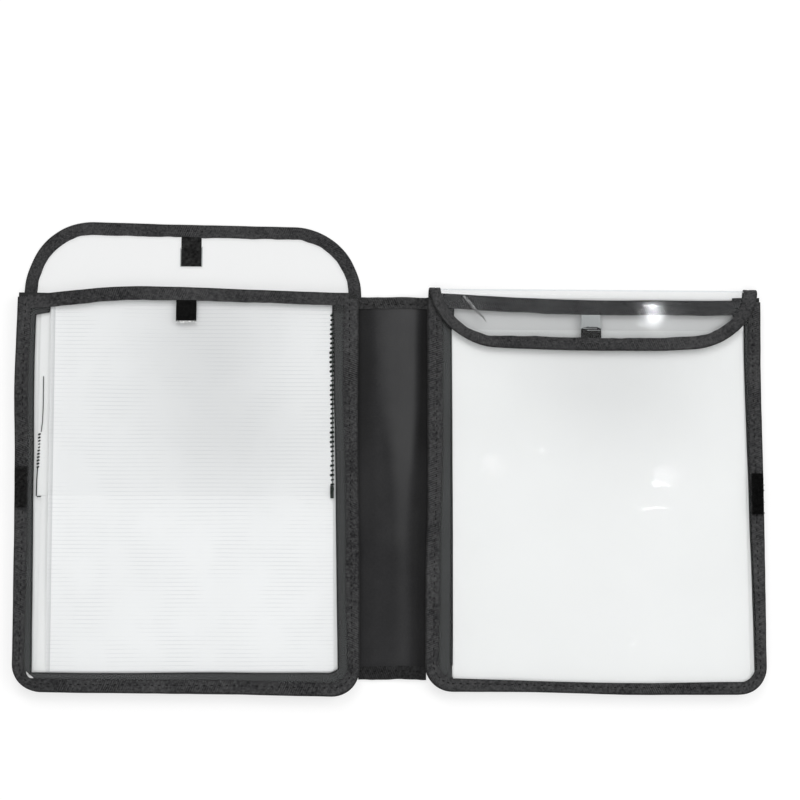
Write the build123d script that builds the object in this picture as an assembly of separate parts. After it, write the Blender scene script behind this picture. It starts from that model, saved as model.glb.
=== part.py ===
"""Two pocket folder lying open on a table, with its left flap open and its right flap closed.

Millimetres. X runs across both covers, Y up the covers towards the flaps, Z up from the table. The
spine's crease is at X = 0. Every piece is drawn for the right cover and mirrored for the left one.
"""

import os
from math import asin, pi

from build123d import *

os.makedirs("parts", exist_ok=True)

# Sheets in the pockets
SHEET_W = 215.9
SHEET_H = 279.4
SHEETS_T = 1.8  # the stack in one pocket

# Covers, sized round the sheets
GUSSET_IN = 15.0  # the gusset's fold, in from the cover's edge
SIDE_ROOM = 1.05  # between the sheets and the fold, on each side
TOP_ROOM = 0.1  # between the sheets' top and the mouth
SHEETS_TUCK = 1.5  # how far the sheets' bottom slips under the fold
COVER_W = SHEET_W + 2 * (GUSSET_IN + SIDE_ROOM)  # from the spine to the outer edge
SHEETS_RISE = GUSSET_IN - SHEETS_TUCK  # above the cover's bottom edge
COVER_H = SHEETS_RISE + SHEET_H + TOP_ROOM  # from the bottom edge to the mouth
CORNER_R = 20.0  # bottom corners
POCKET_T = 10.5  # from back to front

# Flaps
FLAP_REACH = 55.0  # an open flap, past the top of its cover
FLAP_INSET = 2.0  # a flap's side, in from the cover's side
FLAP_STRAIGHT = 7.0  # a flap's side, up to where it rounds to the tip
FLAP_R = FLAP_REACH - FLAP_STRAIGHT

# Spine
SPINE_HALF = 24.5  # from a cover's seam to the crease
SPINE_RISE = 9.5  # the spine's bottom edge above the covers' bottom edge

# Materials
TAPE_T = 0.6
FILM_T = 0.4
CLOTH_T = 0.5
TAPE_W = 9.5  # edge tape, as folded
TAPE_ROUND = 0.45  # the folded edge's rounding
MOUTH_W = 10.0  # tape across the mouth
TOP_HEM_W = 8.0
BOTTOM_HEM_W = 9.5

# Closures
TAB_W = 15.0
TAB_T = 1.0
FLAP_TAB_L = 21.5
MOUTH_TAB_L = 14.5
PATCH_L = 30.0
PATCH_W = 8.5
PATCH_UP = 2.5  # the patch's middle above the cover's middle

# Clearances
HINGE_GAP = 0.3  # between the pieces on either side of a fold
EDGE_GAP = 0.3  # between an edge inside a tape and the tape's fold
TAB_GAP = 0.3  # between a flap's tab and the mouth tab
CLOSED_GAP = 0.3  # between the two closed covers
SHEETS_GAP = 0.3  # below the sheets

# Heights of the layers
BACK_CLOTH_Z = TAPE_T + FILM_T
SEAM_Z = BACK_CLOTH_Z + CLOTH_T + TAPE_T
FRONT_FILM_Z = POCKET_T - TAPE_T - FILM_T
FRONT_CLOTH_Z = FRONT_FILM_Z - CLOTH_T
FRONT_TAPE_Z = FRONT_CLOTH_Z - TAPE_T
MOUTH_Z = FRONT_FILM_Z - TAPE_T
FLAP_T = 2 * TAPE_T + FILM_T
SPINE_TAPE_Z = SEAM_Z - 2 * TAPE_T - CLOTH_T

# Places across and along
X_IN = SPINE_HALF + HINGE_GAP / 2
X_OUT = X_IN + COVER_W
X_MID = (X_IN + X_OUT) / 2
X_CREASE = HINGE_GAP / 2
X_SEAM = SPINE_HALF - HINGE_GAP / 2
Y_BOTTOM = -(COVER_H + FLAP_REACH) / 2
Y_TOP = Y_BOTTOM + COVER_H
Y_TIP = Y_TOP + FLAP_REACH
Y_SPINE = Y_BOTTOM + SPINE_RISE
EDGE_IN = TAPE_T + EDGE_GAP

# A flap turns about an axis half-way up between its open and closed films. The film between is as long
# as the half circle that it bends to.
MOUTH_TAB_Z = POCKET_T - TAPE_T
CLOSED_TOP = MOUTH_TAB_Z + TAB_T + TAB_GAP + TAB_T + TAPE_T + FILM_T
FLAP_AXIS_Z = CLOSED_TOP / 2
FOLD_R = FLAP_AXIS_Z - TAPE_T - FILM_T / 2
FOLD_L = pi * FOLD_R
FLAP_AXIS_Y = Y_TOP + FOLD_L / 2
Y_FLAP = Y_TOP + FOLD_L
FLAP_AXIS = Axis((0, FLAP_AXIS_Y, FLAP_AXIS_Z), (1, 0, 0))
FLAP_LEAN = FLAP_R - (FLAP_R**2 - (FOLD_L - FLAP_STRAIGHT) ** 2) ** 0.5

# The closed covers lie face to face, and the two halves of the spine stand as a V between their seams.
PATCH_T = CLOSED_TOP + CLOSED_GAP / 2 - POCKET_T
SEAM_TURN = asin((CLOSED_TOP - SEAM_Z + CLOSED_GAP) / SPINE_HALF)
CREASE_TURN = pi - 2 * SEAM_TURN


def block(x0, x1, y0, y1, z0, z1):
    """A box between two corners."""
    box = Box(x1 - x0, y1 - y0, z1 - z0)
    return Pos((x0 + x1) / 2, (y0 + y1) / 2, (z0 + z1) / 2) * box


def plate(face, z0, thickness):
    """A flat face made into a sheet that starts at z0."""
    return extrude(Pos(0, 0, z0) * face, amount=thickness)


def rounded(x0, x1, y0, y1, radius, at_top):
    """A rectangle with two rounded corners, at its top or at its bottom."""
    face = Pos((x0 + x1) / 2, (y0 + y1) / 2) * Rectangle(x1 - x0, y1 - y0)
    corners = face.vertices().sort_by(Axis.Y)
    return fillet(corners[-2:] if at_top else corners[:2], radius)


def cover_path():
    """The cover's edge, from its mouth down the inner side, along the bottom and up the outer side."""
    low = Y_BOTTOM + CORNER_R
    return Wire(
        [
            Line((X_IN, Y_TOP), (X_IN, low)),
            CenterArc((X_IN + CORNER_R, low), CORNER_R, 180, 90),
            Line((X_IN + CORNER_R, Y_BOTTOM), (X_OUT - CORNER_R, Y_BOTTOM)),
            CenterArc((X_OUT - CORNER_R, low), CORNER_R, 270, 90),
            Line((X_OUT, low), (X_OUT, Y_TOP)),
        ]
    )


def flap_path():
    """The open flap's edge, from the cover's outer corner round the tip to its inner corner."""
    x0, x1 = X_IN + FLAP_INSET, X_OUT - FLAP_INSET
    high = Y_TIP - FLAP_R
    return Wire(
        [
            Line((x1, Y_TOP), (x1, high)),
            CenterArc((x1 - FLAP_R, high), FLAP_R, 0, 90),
            Line((x1 - FLAP_R, Y_TIP), (x0 + FLAP_R, Y_TIP)),
            CenterArc((x0 + FLAP_R, high), FLAP_R, 90, 90),
            Line((x0, high), (x0, Y_TOP)),
        ]
    )


def run(path, face):
    """Carries a cross section along a level path. In the section X points in from the edge and Y up."""
    along = path % 0
    inward = (-along.Y, along.X, 0)
    start = Plane(origin=path @ 0, x_dir=inward, z_dir=(along.X, along.Y, 0))
    return sweep(start * face, path=path)


def tape_section(width, z0, z1):
    """Tape folded over an edge: two flat layers and the rounded fold that joins them."""
    face = make_face(
        Polyline(
            (0, z0),
            (width, z0),
            (width, z0 + TAPE_T),
            (TAPE_T, z0 + TAPE_T),
            (TAPE_T, z1 - TAPE_T),
            (width, z1 - TAPE_T),
            (width, z1),
            (0, z1),
            close=True,
        )
    )
    return fillet(face.vertices().sort_by(Axis.X)[:2], TAPE_ROUND)


def gusset_section():
    """Cloth from inside the back tape, in to the fold at mid height, and out again to the front tape."""
    low, high = BACK_CLOTH_Z, FRONT_CLOTH_Z + CLOTH_T
    middle = (low + high) / 2
    reach = GUSSET_IN - TAPE_W
    rise = (high - low - CLOTH_T) / 2
    length = (reach**2 + rise**2) ** 0.5
    bend = CLOTH_T * (length - reach) / rise
    return make_face(
        Polyline(
            (EDGE_IN, low),
            (TAPE_W + bend, low),
            (GUSSET_IN + bend, middle - CLOTH_T / 2),
            (GUSSET_IN + bend, middle + CLOTH_T / 2),
            (TAPE_W + bend, high),
            (EDGE_IN, high),
            (EDGE_IN, high - CLOTH_T),
            (TAPE_W, high - CLOTH_T),
            (GUSSET_IN - CLOTH_T / 2 * reach / rise, middle),
            (TAPE_W, low + CLOTH_T),
            (EDGE_IN, low + CLOTH_T),
            close=True,
        )
    )


def gusset():
    """The gusset, cut clear of the tape across the mouth."""
    room = block(
        X_IN + TAPE_W,
        X_OUT - TAPE_W,
        Y_TOP - MOUTH_W - EDGE_GAP,
        Y_TOP + MOUTH_W,
        MOUTH_Z - EDGE_GAP,
        POCKET_T,
    )
    return run(cover_path(), gusset_section()) - room


def straight_tape(x0, x1, y, width, z0, z1, at_top):
    """Tape folded over a straight edge along X, at the top or at the bottom of a sheet."""
    ends = [(x1, y), (x0, y)] if at_top else [(x0, y), (x1, y)]
    return run(Wire([Line(*ends)]), tape_section(width, z0, z1))


def film_outline(top):
    """A pocket film's outline, drawn in from the cover's edge."""
    low = Y_BOTTOM + EDGE_IN
    return rounded(X_IN + EDGE_IN, X_OUT - EDGE_IN, low, top, CORNER_R - EDGE_IN, False)


def cover_pieces():
    """The pieces that are fixed to one cover."""
    tab_top = Y_TOP - MOUTH_W
    patch_x = X_OUT - TAPE_ROUND
    patch_y = Y_BOTTOM + COVER_H / 2 + PATCH_UP - PATCH_L / 2
    sheets_y = Y_BOTTOM + SHEETS_RISE
    sheets_x = X_MID - SHEET_W / 2
    sheets_z = TAPE_T + FILM_T + SHEETS_GAP
    tab_x0, tab_x1 = X_MID - TAB_W / 2, X_MID + TAB_W / 2
    mouth_x0, mouth_x1 = X_IN + TAPE_W, X_OUT - TAPE_W
    tab_z1 = MOUTH_TAB_Z + TAB_T
    patch_z1 = POCKET_T + PATCH_T
    edge = cover_path()
    return {
        "back_film": plate(film_outline(Y_TOP), TAPE_T, FILM_T),
        "front_film": plate(film_outline(Y_TOP - EDGE_IN), FRONT_FILM_Z, FILM_T),
        "gusset": gusset(),
        "back_binding": run(edge, tape_section(TAPE_W, 0, SEAM_Z)),
        "front_binding": run(edge, tape_section(TAPE_W, FRONT_TAPE_Z, POCKET_T)),
        "mouth_binding": straight_tape(mouth_x0, mouth_x1, Y_TOP, MOUTH_W, MOUTH_Z, POCKET_T, True),
        "mouth_tab": block(tab_x0, tab_x1, tab_top - MOUTH_TAB_L, tab_top, MOUTH_TAB_Z, tab_z1),
        "edge_patch": block(patch_x - PATCH_W, patch_x, patch_y, patch_y + PATCH_L, POCKET_T, patch_z1),
        "sheets": block(
            sheets_x,
            sheets_x + SHEET_W,
            sheets_y,
            sheets_y + SHEET_H,
            sheets_z,
            sheets_z + SHEETS_T,
        ),
    }


def flap_pieces():
    """The pieces of one flap, lying open, with the flat strip that joins it to the cover."""
    far = Y_TIP + FLAP_REACH
    x0, x1 = X_IN + FLAP_INSET + EDGE_IN, X_OUT - FLAP_INSET - EDGE_IN
    film = plate(rounded(x0, x1, Y_TOP, Y_TIP - EDGE_IN, FLAP_R - EDGE_IN, True), TAPE_T, FILM_T)
    tape = run(flap_path(), tape_section(TAPE_W, 0, FLAP_T))
    flap_part = block(0, X_OUT + CORNER_R, Y_FLAP, far, -POCKET_T, POCKET_T)
    fold_part = block(0, X_OUT + CORNER_R, Y_TOP + HINGE_GAP, Y_FLAP, -POCKET_T, POCKET_T)
    tab_top = Y_TIP - TAPE_W
    tab_z = TAPE_T + FILM_T
    tab_x0, tab_x1 = X_MID - TAB_W / 2, X_MID + TAB_W / 2
    return {
        "flap_film": film & flap_part,
        "flap_binding": tape & flap_part,
        "flap_tab": block(tab_x0, tab_x1, tab_top - FLAP_TAB_L, tab_top, tab_z, tab_z + TAB_T),
        "flap_fold": film & fold_part,
        "flap_fold_binding": tape & fold_part,
    }


def bent_strip(x0, x1, thickness):
    """The joining strip as it bends behind a closed flap: half a tube along X."""
    ring = Circle(FOLD_R + thickness / 2) - Circle(FOLD_R - thickness / 2)
    tube = extrude(Plane(origin=(x0, Y_TOP, FLAP_AXIS_Z), x_dir=(0, 1, 0), z_dir=(1, 0, 0)) * ring, x1 - x0)
    upper = block(x0, x1, Y_TOP, Y_FLAP, FLAP_AXIS_Z, CLOSED_TOP)
    lower = block(x0, x1, Y_TOP + HINGE_GAP, Y_FLAP, 0, FLAP_AXIS_Z)
    return tube & (upper + lower)


def closed_flap_pieces():
    """The pieces of one flap, closed over the mouth, with the strip bent round behind it."""
    pieces = {name: part.rotate(FLAP_AXIS, 180) for name, part in flap_pieces().items()}
    x0 = X_IN + FLAP_INSET + FLAP_LEAN / 2
    x1 = X_OUT - FLAP_INSET - FLAP_LEAN / 2
    pieces["flap_fold"] = bent_strip(x0 + TAPE_W, x1 - TAPE_W, FILM_T)
    pieces["flap_fold_binding"] = Compound(
        children=[bent_strip(x0, x0 + TAPE_W, FLAP_T), bent_strip(x1 - TAPE_W, x1, FLAP_T)]
    )
    return pieces


def spine_pieces():
    """One half of the spine: the cloth and the tape folded over its two ends."""
    cloth_z = SPINE_TAPE_Z + TAPE_T
    return {
        "spine_cloth": block(
            X_CREASE,
            X_SEAM,
            Y_SPINE + EDGE_IN,
            Y_TOP - EDGE_IN,
            cloth_z,
            cloth_z + CLOTH_T,
        ),
        "spine_top_hem": straight_tape(X_CREASE, X_SEAM, Y_TOP, TOP_HEM_W, SPINE_TAPE_Z, SEAM_Z, True),
        "spine_bottom_hem": straight_tape(
            X_CREASE, X_SEAM, Y_SPINE, BOTTOM_HEM_W, SPINE_TAPE_Z, SEAM_Z, False
        ),
    }


def save(side, pieces):
    """Writes one side's pieces, mirrored for the left side."""
    for name, part in pieces.items():
        placed = mirror(part, about=Plane.YZ) if side == "left" else part
        export_step(placed, f"parts/{side}_{name}.step")


save("right", cover_pieces() | closed_flap_pieces() | spine_pieces())
save("left", cover_pieces() | flap_pieces() | spine_pieces())
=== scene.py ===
import math
import random

import bmesh
import bpy
import numpy as np
from mathutils import Matrix, Vector, noise


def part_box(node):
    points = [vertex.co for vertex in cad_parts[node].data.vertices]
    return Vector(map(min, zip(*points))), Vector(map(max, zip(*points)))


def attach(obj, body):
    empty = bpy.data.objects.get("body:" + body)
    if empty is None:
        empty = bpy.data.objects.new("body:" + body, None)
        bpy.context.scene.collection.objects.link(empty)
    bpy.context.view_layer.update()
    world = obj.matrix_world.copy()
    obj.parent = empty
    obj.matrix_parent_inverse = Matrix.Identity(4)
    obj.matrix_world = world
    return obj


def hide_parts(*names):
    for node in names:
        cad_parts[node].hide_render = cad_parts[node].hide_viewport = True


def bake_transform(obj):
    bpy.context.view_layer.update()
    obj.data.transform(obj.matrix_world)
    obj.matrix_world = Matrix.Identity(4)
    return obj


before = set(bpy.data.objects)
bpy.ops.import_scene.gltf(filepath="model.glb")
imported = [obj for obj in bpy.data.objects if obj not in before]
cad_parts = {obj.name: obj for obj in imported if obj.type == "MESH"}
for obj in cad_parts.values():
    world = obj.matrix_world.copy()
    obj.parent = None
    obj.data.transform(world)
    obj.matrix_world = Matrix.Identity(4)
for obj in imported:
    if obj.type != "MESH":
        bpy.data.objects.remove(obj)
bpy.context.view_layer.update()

# Lengths are in millimetres and become metres when a piece is made. Pieces are drawn for the right cover and
# mirrored for the left one. The spine's crease is at x = 0, and y runs up the covers towards the flaps.
MM = 0.001
SIGN = {"left": -1, "right": 1}


def span(node):
    """A solid's lowest and highest corner, in millimetres."""
    low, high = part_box(node)
    return np.array(low) / MM, np.array(high) / MM


# Places of the layers, taken from the solids
BACK_LOW, BACK_HIGH = span("right_back_binding")
FRONT_LOW, FRONT_HIGH = span("right_front_binding")
MOUTH_LOW, MOUTH_HIGH = span("right_mouth_binding")
BACK_FILM_LOW, BACK_FILM_HIGH = span("right_back_film")
FRONT_FILM_LOW, FRONT_FILM_HIGH = span("right_front_film")
SHEETS_LOW, SHEETS_HIGH = span("right_sheets")
OPEN_FLAP_LOW, OPEN_FLAP_HIGH = span("left_flap_binding")
OPEN_FILM_LOW, OPEN_FILM_HIGH = span("left_flap_film")
CLOSED_FILM_LOW, CLOSED_FILM_HIGH = span("right_flap_film")
SPINE_LOW, SPINE_HIGH = span("right_spine_cloth")
TOP_HEM_LOW, TOP_HEM_HIGH = span("right_spine_top_hem")
BOTTOM_HEM_LOW, BOTTOM_HEM_HIGH = span("right_spine_bottom_hem")

X_IN, X_OUT = BACK_LOW[0], BACK_HIGH[0]
X_MID = (X_IN + X_OUT) / 2
Y_BOTTOM, Y_TOP = BACK_LOW[1], BACK_HIGH[1]
Y_TIP = OPEN_FLAP_HIGH[1]
Y_FLAP = OPEN_FILM_LOW[1]
FILM_Z = {
    "front": (FRONT_FILM_LOW[2] + FRONT_FILM_HIGH[2]) / 2,
    "back": (BACK_FILM_LOW[2] + BACK_FILM_HIGH[2]) / 2,
}
FLAP_FILM_Z = (OPEN_FILM_LOW[2] + OPEN_FILM_HIGH[2]) / 2
FLAP_AXIS_Z = (FLAP_FILM_Z + (CLOSED_FILM_LOW[2] + CLOSED_FILM_HIGH[2]) / 2) / 2
FOLD_L = Y_FLAP - Y_TOP

# Shapes
SHARP_ANGLE = math.radians(48)  # from which an edge is shaded as a sharp one
CORNER_R = 20.0  # bottom corners of a cover
TAPE_W = 9.5
TAPE_T = 0.6
TAPE_FOLD_R = 0.95  # round of the tape where it folds over an edge
TAPE_PUFF = 0.16  # how far the tape swells between its fold and its seam
SEAM_DIP = 0.12  # how far the seam pulls it in
SEAM_PUCKER = 0.1  # and how much more at each stitch
TAPE_HOLLOW = 0.2  # room between the tape's fold and the edge in it

# Places across one face of a tape, as shares of its width
TAPE_SECTION = (1, 0.94, 0.86, 0.75, 0.68, 0.61, 0.54, 0.46, 0.32, 0.19, 0.1, 0.045, 0.012)

# Uneven drift of a tape and its seam, and of the tape's inner edge: strength and length of each wave
TAPE_DRIFT = ((0.3, 48), (0.12, 13))
TAPE_LOOSE = ((0.4, 16), (0.25, 6))

# Mouth and flaps
MOUTH_W = MOUTH_HIGH[1] - MOUTH_LOW[1]
FLAP_STRAIGHT = 7.0  # a flap's side, up to where it rounds to the tip
FLAP_INSET = {"left": (1.2, 2.0), "right": (2.0, 2.0)}  # a flap's inner and outer side, in from the cover's
FLAP_DRIFT = 1.6  # both flaps lie this far towards the right
FLAP_FLARE = {"left": 2.0, "right": 0.6}  # how far a flap widens towards its fold
FLAP_PULL = {"left": 0.0, "right": 4.4}  # how far a closed flap is pulled down over the mouth
FLAP_SLANT = {"left": 0.016, "right": 0.0}  # rise of a flap's tip per millimetre outwards
FLAP_LEVEL = 186.0  # where a slanting tip has its true height

# How far a flap's tip is drawn in, and how wide its tape is as a share of its full width, along the flap
FLAP_CURVE = {
    "left": ((45, 0.0), (250, 0.0)),
    "right": (
        (45, 4.3), (54, 3.3), (62, 2.7), (71, 2.0), (80, 1.5), (95, 0.9), (110, 0.5), (124, 0.0),
        (145, -0.4), (190, -0.3), (211, 0.4), (219, 0.9), (228, 1.9), (237, 2.6), (250, 3.0),
    ),
}
FLAP_TAPE = {
    "left": ((45, 1.0), (250, 1.0)),
    "right": ((40, 0.88), (54, 0.82), (66, 0.84), (84, 1.0), (210, 1.0), (225, 1.05), (250, 1.05)),
}
FLAP_START = 3.0  # the flap's tape and film, below the top of the cover
FLAP_FILM_IN = 3.0  # how far the flap film's sides lie inside the tape's edge
FLAP_TIP_IN = 0.9  # and its tip
FLAP_SLACK = {"left": 0.22, "right": 0.06}  # how far the flap's film waves
FLAP_BEND_IN = 4.0  # how far the bend of an open flap lies inside the strip that folds
TAPE_END = 3.4  # the front tape's ends, below the top of the cover
MOUTH_TUCK = 2.2  # how far the mouth tape's ends go under the side tapes

# A tab's shift outwards, and the rise of its lower and upper edge, against its solid
TAB_FIT = {
    ("left", "mouth_tab"): (2.6, 3.4, 5.6),
    ("left", "flap_tab"): (0.0, -1.4, 0.0),
    ("right", "flap_tab"): (-1.1, -FLAP_PULL["right"], -8.8),
    ("right", "mouth_tab"): (-1.1, -1.0, -6.0),
    ("right", "edge_patch"): (0.0, -3.0, -3.0),
}
GLUE_SHARE = 0.5  # the glued part of a flap tab, from its free end
TAB_TAPER = 0.14  # how much narrower the glued end of a closed flap's tab is
COVERED_TAB = 0.8  # width of the mouth tab under a closed flap's tab, against its solid
TAB_SEAM = 0.85  # the second seam that holds a flap's tab, against the tape's own seam

# Dried glue on a flap's tab: a skin and two streaks, each from side to side and inwards from the free end,
# as shares
GLUE_PATCHES = ((-0.05, 1.05, -0.03, 1.0), (0.1, 0.8, 1.12, 1.17), (0.3, 0.95, 1.3, 1.35))
GLUE_T = 0.08

# Hook and loop pile: its pitch, the bend of one hook and one loop as shares of its width and height, and for
# neat and rough pile the bare border, how far strands stray and how thick they are
PILE_PITCH = 1.15
HOOK_BEND = ((0, 0), (0.02, 0.6), (0.2, 0.95), (0.42, 0.9), (0.5, 0.6))
LOOP_BEND = ((-0.45, 0), (-0.5, 0.55), (0, 1.0), (0.5, 0.55), (0.45, 0))
HOOK_REACH = 0.9
PILE_GROWTH = (0.75, 1.0)
NEAT_PILE = (0.6, 0.2, 0.11)
ROUGH_PILE = (-0.2, 0.55, 0.2)

# Loose ends on a mouth tab's cut edge: pitch, longest reach, widest bend and range of thickness
FRAY_PITCH = 0.75
FRAY_REACH = 1.5
FRAY_BEND = 0.8
FRAY_R = (0.14, 0.34)

# Stitches
STITCH_PITCH = 5.3
STITCH_L = 2.0
STITCH_R = 0.33
STITCH_SHARE = 0.64  # the seam, as a share of the tape's width
STITCH_ODD = 0.12  # how far a stitch strays and leans

# Sections along one stitch: place, roundness and how far they dive into the tape
STITCH_STEPS = np.array([-1, -0.8, -0.35, 0.35, 0.8, 1])
STITCH_ROUND = np.array([0.45, 0.85, 1, 1, 0.85, 0.45])
STITCH_SINK = np.array([-0.42, -0.16, 0, 0, -0.16, -0.42])

# Film and cloth
FILM_T = 0.2
CLOTH_T = 0.5
FILM_SLACK = {"front": 0.75, "back": 0.12}  # how far a pocket's film waves
SLACK_FROM = 34.0  # how far in from the tape it is fully slack
FILM_WAVES = ((1, 74), (0.35, 31), (0.1, 14))  # strength and length of each wave
FLAP_WAVES = ((1, 46), (0.4, 19))
MOUTH_FADE = 120.0  # how far down the front film follows the mouth's uneven edge
STRAY_FADE = 140.0  # how far up a cover follows its uneven bottom
EASE_STEPS = (-16, -8, 0, 8, 16)  # places over which the corners of a table are smoothed

# How wide the tapes are as a share of their full width: up the inner side, along the bottom, up the outer
# side and across the mouth
INNER_TAPE = {
    "left": ((-140, 0.86), (-100, 1.0), (-40, 0.97), (0, 0.92), (45, 1.1), (119, 1.13)),
    "right": ((-140, 0.97), (-90, 1.05), (-45, 0.95), (-5, 1.1), (45, 1.14), (119, 1.14)),
}
BOTTOM_TAPE = {
    "left": ((30, 1.0), (260, 0.97)),
    "right": ((36, 1.0), (60, 0.93), (91, 0.81), (150, 0.79), (179, 0.82), (215, 0.86), (252, 0.9)),
}
OUTER_TAPE = {
    "left": ((-180, 0.8), (-160, 0.84), (-142, 0.87), (-116, 0.89), (-72, 0.96), (12, 0.99), (110, 0.98)),
    "right": ((-146, 0.79), (-111, 0.82), (-87, 0.9), (-64, 0.98)),
}
MOUTH_TAPE = {"left": ((103, 0.95), (212, 1.05)), "right": ((36, 1.1), (263, 1.1))}

# The gusset's fold, in from the cover's edge: up the inner side, along the bottom and up the outer side
GUSSET_INNER = {
    "left": (
        (-160, 15.6), (-87, 16.3), (-40, 16.4), (7, 16.5),
        (45, 17.1), (60, 17.6), (90, 18.7), (119, 19.0),
    ),
    "right": (
        (-160, 19.3), (-140, 19.5), (-120, 19.75), (-100, 19.85),
        (-75, 19.6), (-45, 18.5), (-20, 18.2), (119, 18.2),
    ),
}
GUSSET_BOTTOM = {
    "left": ((55, 16.8), (84, 15.8), (113, 15.2), (172, 14.6), (230, 13.9), (260, 13.7)),
    "right": ((40, 9.8), (60, 9.1), (91, 8.0), (150, 7.8), (179, 8.1), (215, 8.5), (252, 9.0)),
}
GUSSET_OUTER = {
    "left": ((-142, 13.8), (-116, 13.8), (-72, 13.3), (-30, 13.1), (20, 13.5), (60, 13.8), (90, 13.3)),
    "right": ((-146, 8.2), (-111, 8.6), (-87, 9.4), (-64, 10.3), (5, 11.0), (65, 11.6), (89, 12.0)),
}
GUSSET_END_REACH = {"left": (19.0, 23.0), "right": (20.0, 20.0)}  # its hemmed ends at the mouth
GUSSET_END = 14.5  # how far a hemmed end goes down from the mouth
FOLD_LEVEL = 0.8  # height of the gusset's fold between the films, where the sheets press it up
SLIT_L = 9.0  # half the slit at the left cover's outer corner, where the tape misses the gusset
SLIT_W = 2.5
SLIT_NARROW = 0.17  # how much narrower the tape is there, as a share of its width
GUSSET_SHADE = {"left": (1.2, 1.3), "right": (1.2, 2.4)}  # width of its fold's shade, at mouth and bottom
GUSSET_DARK = {"fold": 0.95, "tape": 0.65, "hem": 0.5, "crease": 0.9}  # how dark it is painted: shade at its fold, along the tape and in the crease, and darker hemmed ends
FLANGE = np.array([0.9, 3.5, 6.5, TAPE_W])  # places across the part of it that is sewn in
LOOSE_FLANGE = np.array([0.0, 0.06, 0.12, 0.18])  # and the same where the tape misses it
HEM_THICKER = 0.7  # how much thicker its hemmed ends are, as a share
PLEAT_DEPTH, PLEAT_PITCH = 0.8, 7.5  # pleats at its inner corner
CORNER_CUT = 2.5  # how near a pleat of the left gusset's inner corner comes to the middle of its round
CREASE_TURN = 58  # a painted shade line for a sharp crease in both gussets' inner corners, in degrees from the side

# The rise of the mouth's edge along the cover, from its inner side to its outer side
MOUTH_RISE = {
    "left": ((34, 1.2), (46, 1.6), (74, 2.4), (112, 3.8), (156, 5.2), (195, 5.8), (222, 3.1), (263, -2.0)),
    "right": ((34, 2.2), (47, 1.4), (80, -0.9), (153, -2.7), (240, -2.5), (263, -2.2)),
}

# How far the sewn edge of a cover strays: outwards on its outer side, to the spine on its inner side, and up
# at its bottom
OUTER_STRAY = {
    "left": ((-160, -1.0), (-100, -0.3), (-50, 0.0), (8, 1.4), (32, 2.4), (56, 3.2), (80, 2.5), (115, 2.1)),
    "right": ((-160, -0.8), (-100, 0.0), (-30, 0.8), (5, 1.1), (64, 1.1), (88, 1.7), (112, 2.6)),
}
INNER_STRAY = {
    "left": ((-160, 1.5), (-87, 1.3), (-43, 0.9), (0, -0.1), (45, -0.4), (90, 0.3), (119, 0.4)),
    "right": ((-160, 0.6), (-110, 0.3), (-80, 0.0), (-50, -1.4), (-20, -1.7), (119, -1.7)),
}
BOTTOM_STRAY = {
    "left": ((30, -1.6), (66, -0.7), (84, -0.4), (110, 0.6), (150, 0.9), (190, 1.1), (229, 1.6), (255, 2.4)),
    "right": ((36, 2.2), (88, 2.2), (115, 1.5), (154, 0.7), (172, 0.0)),
}
SPINE_RISE = 1.5  # the spine's lower edge, above its solid
SPINE_TUCK = 1.2  # how far its sides go into the tapes
SPINE_HALF = SPINE_HIGH[0] + SPINE_TUCK
SPINE_BODIES = ("right_spine", "left_spine")
SPINE_BEND = ((4.0, 0, 0), (-4.0, 0, 0))  # where its crease starts and ends

# Soft folds up the spine: height, place and width at the bottom, and what each gains towards the top
SPINE_FOLDS = (
    ((1.0, 1.8), (8.5, 1.0), (8.0, 2.0)),
    ((0.7, 0.0), (-12.0, 2.0), (4.0, 0.0)),
)
FOLD_RANGE = (-0.3, 3.6)  # lowest and highest place of the folds
FOLD_FADE = 7.0  # how far from the seams they die out
HEM_WAVES = ((0.5, 17), (0.25, 6))  # waves of the bottom hem: strength and length

# The painted highlight on the crest of the spine's fold: its left and right limit, the width of its left
# ramp, and its strength
CREST_LEFT = ((-130, 3.5), (-43, 3.5), (1, 1.5), (45, -6.0), (119, -7.0))
CREST_RIGHT = ((-130, 11.0), (-43, 11.0), (1, 15.5), (45, 17.8), (119, 19.2))
CREST_RAMP = ((-43, 4.0), (1, 5.0), (45, 8.0), (119, 10.0))
CREST_HIGHLIGHT = ((-130, 0.15), (-87, 0.22), (-43, 0.4), (1, 0.85), (119, 0.9))

# Painted shade beside the crest towards the seams, which grows up the spine, and uneven patches of wear
SHADE_FROM, SHADE_GROW = -20.0, 60.0
SHADE_RIGHT = (0.45, 0.35)  # at the bottom, and what it gains
SHADE_LEFT = 0.55
SHADE_LEFT_FROM = -10.0
WEAR_PATCHES = ((0.12, 26), (0.08, 9))  # strength and length
TOP_HEM_SHARE = 1.12  # the top hem's width, against its solid

# Sheets in each pocket: width, length, shift outwards, height of the lower edge above the solid's, colour,
# how far the outer edge curls up, and how far the top leans outwards
PAD_LOW = -30.6  # lower edge of the half-length pad in the left pocket
SHEETS = {
    "left": (
        (215.9, 279.4, 5.2, 0.6, "white", 0.0, 3.0),
        (215.9, 279.4, -2.2, 0.9, "white", 0.0, -0.4),
        (213.0, 139.7, 2.6, PAD_LOW - SHEETS_LOW[1], "white", 0.0, 0.4),
        (206.4, 276.4, -2.6, 3.2, "ruled", 1.5, 2.4),
    ),
    "right": (
        # the backing card is greyed as painted shade where it shows under the closed flap
        (215.9, 279.4, 2.6, -0.4, "card", 0.0, -0.6),
        (215.9, 258.0, 6.4, -3.6, "white", 0.0, -0.4),
        (215.9, 260.0, 2.6, -5.7, "white", 0.0, 0.4),
        (215.9, 260.4, 4.0, -6.0, "white", 0.0, 0.9),
    ),
}
SHEET_T = 0.28
SHEET_WAVE = 0.08
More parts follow.
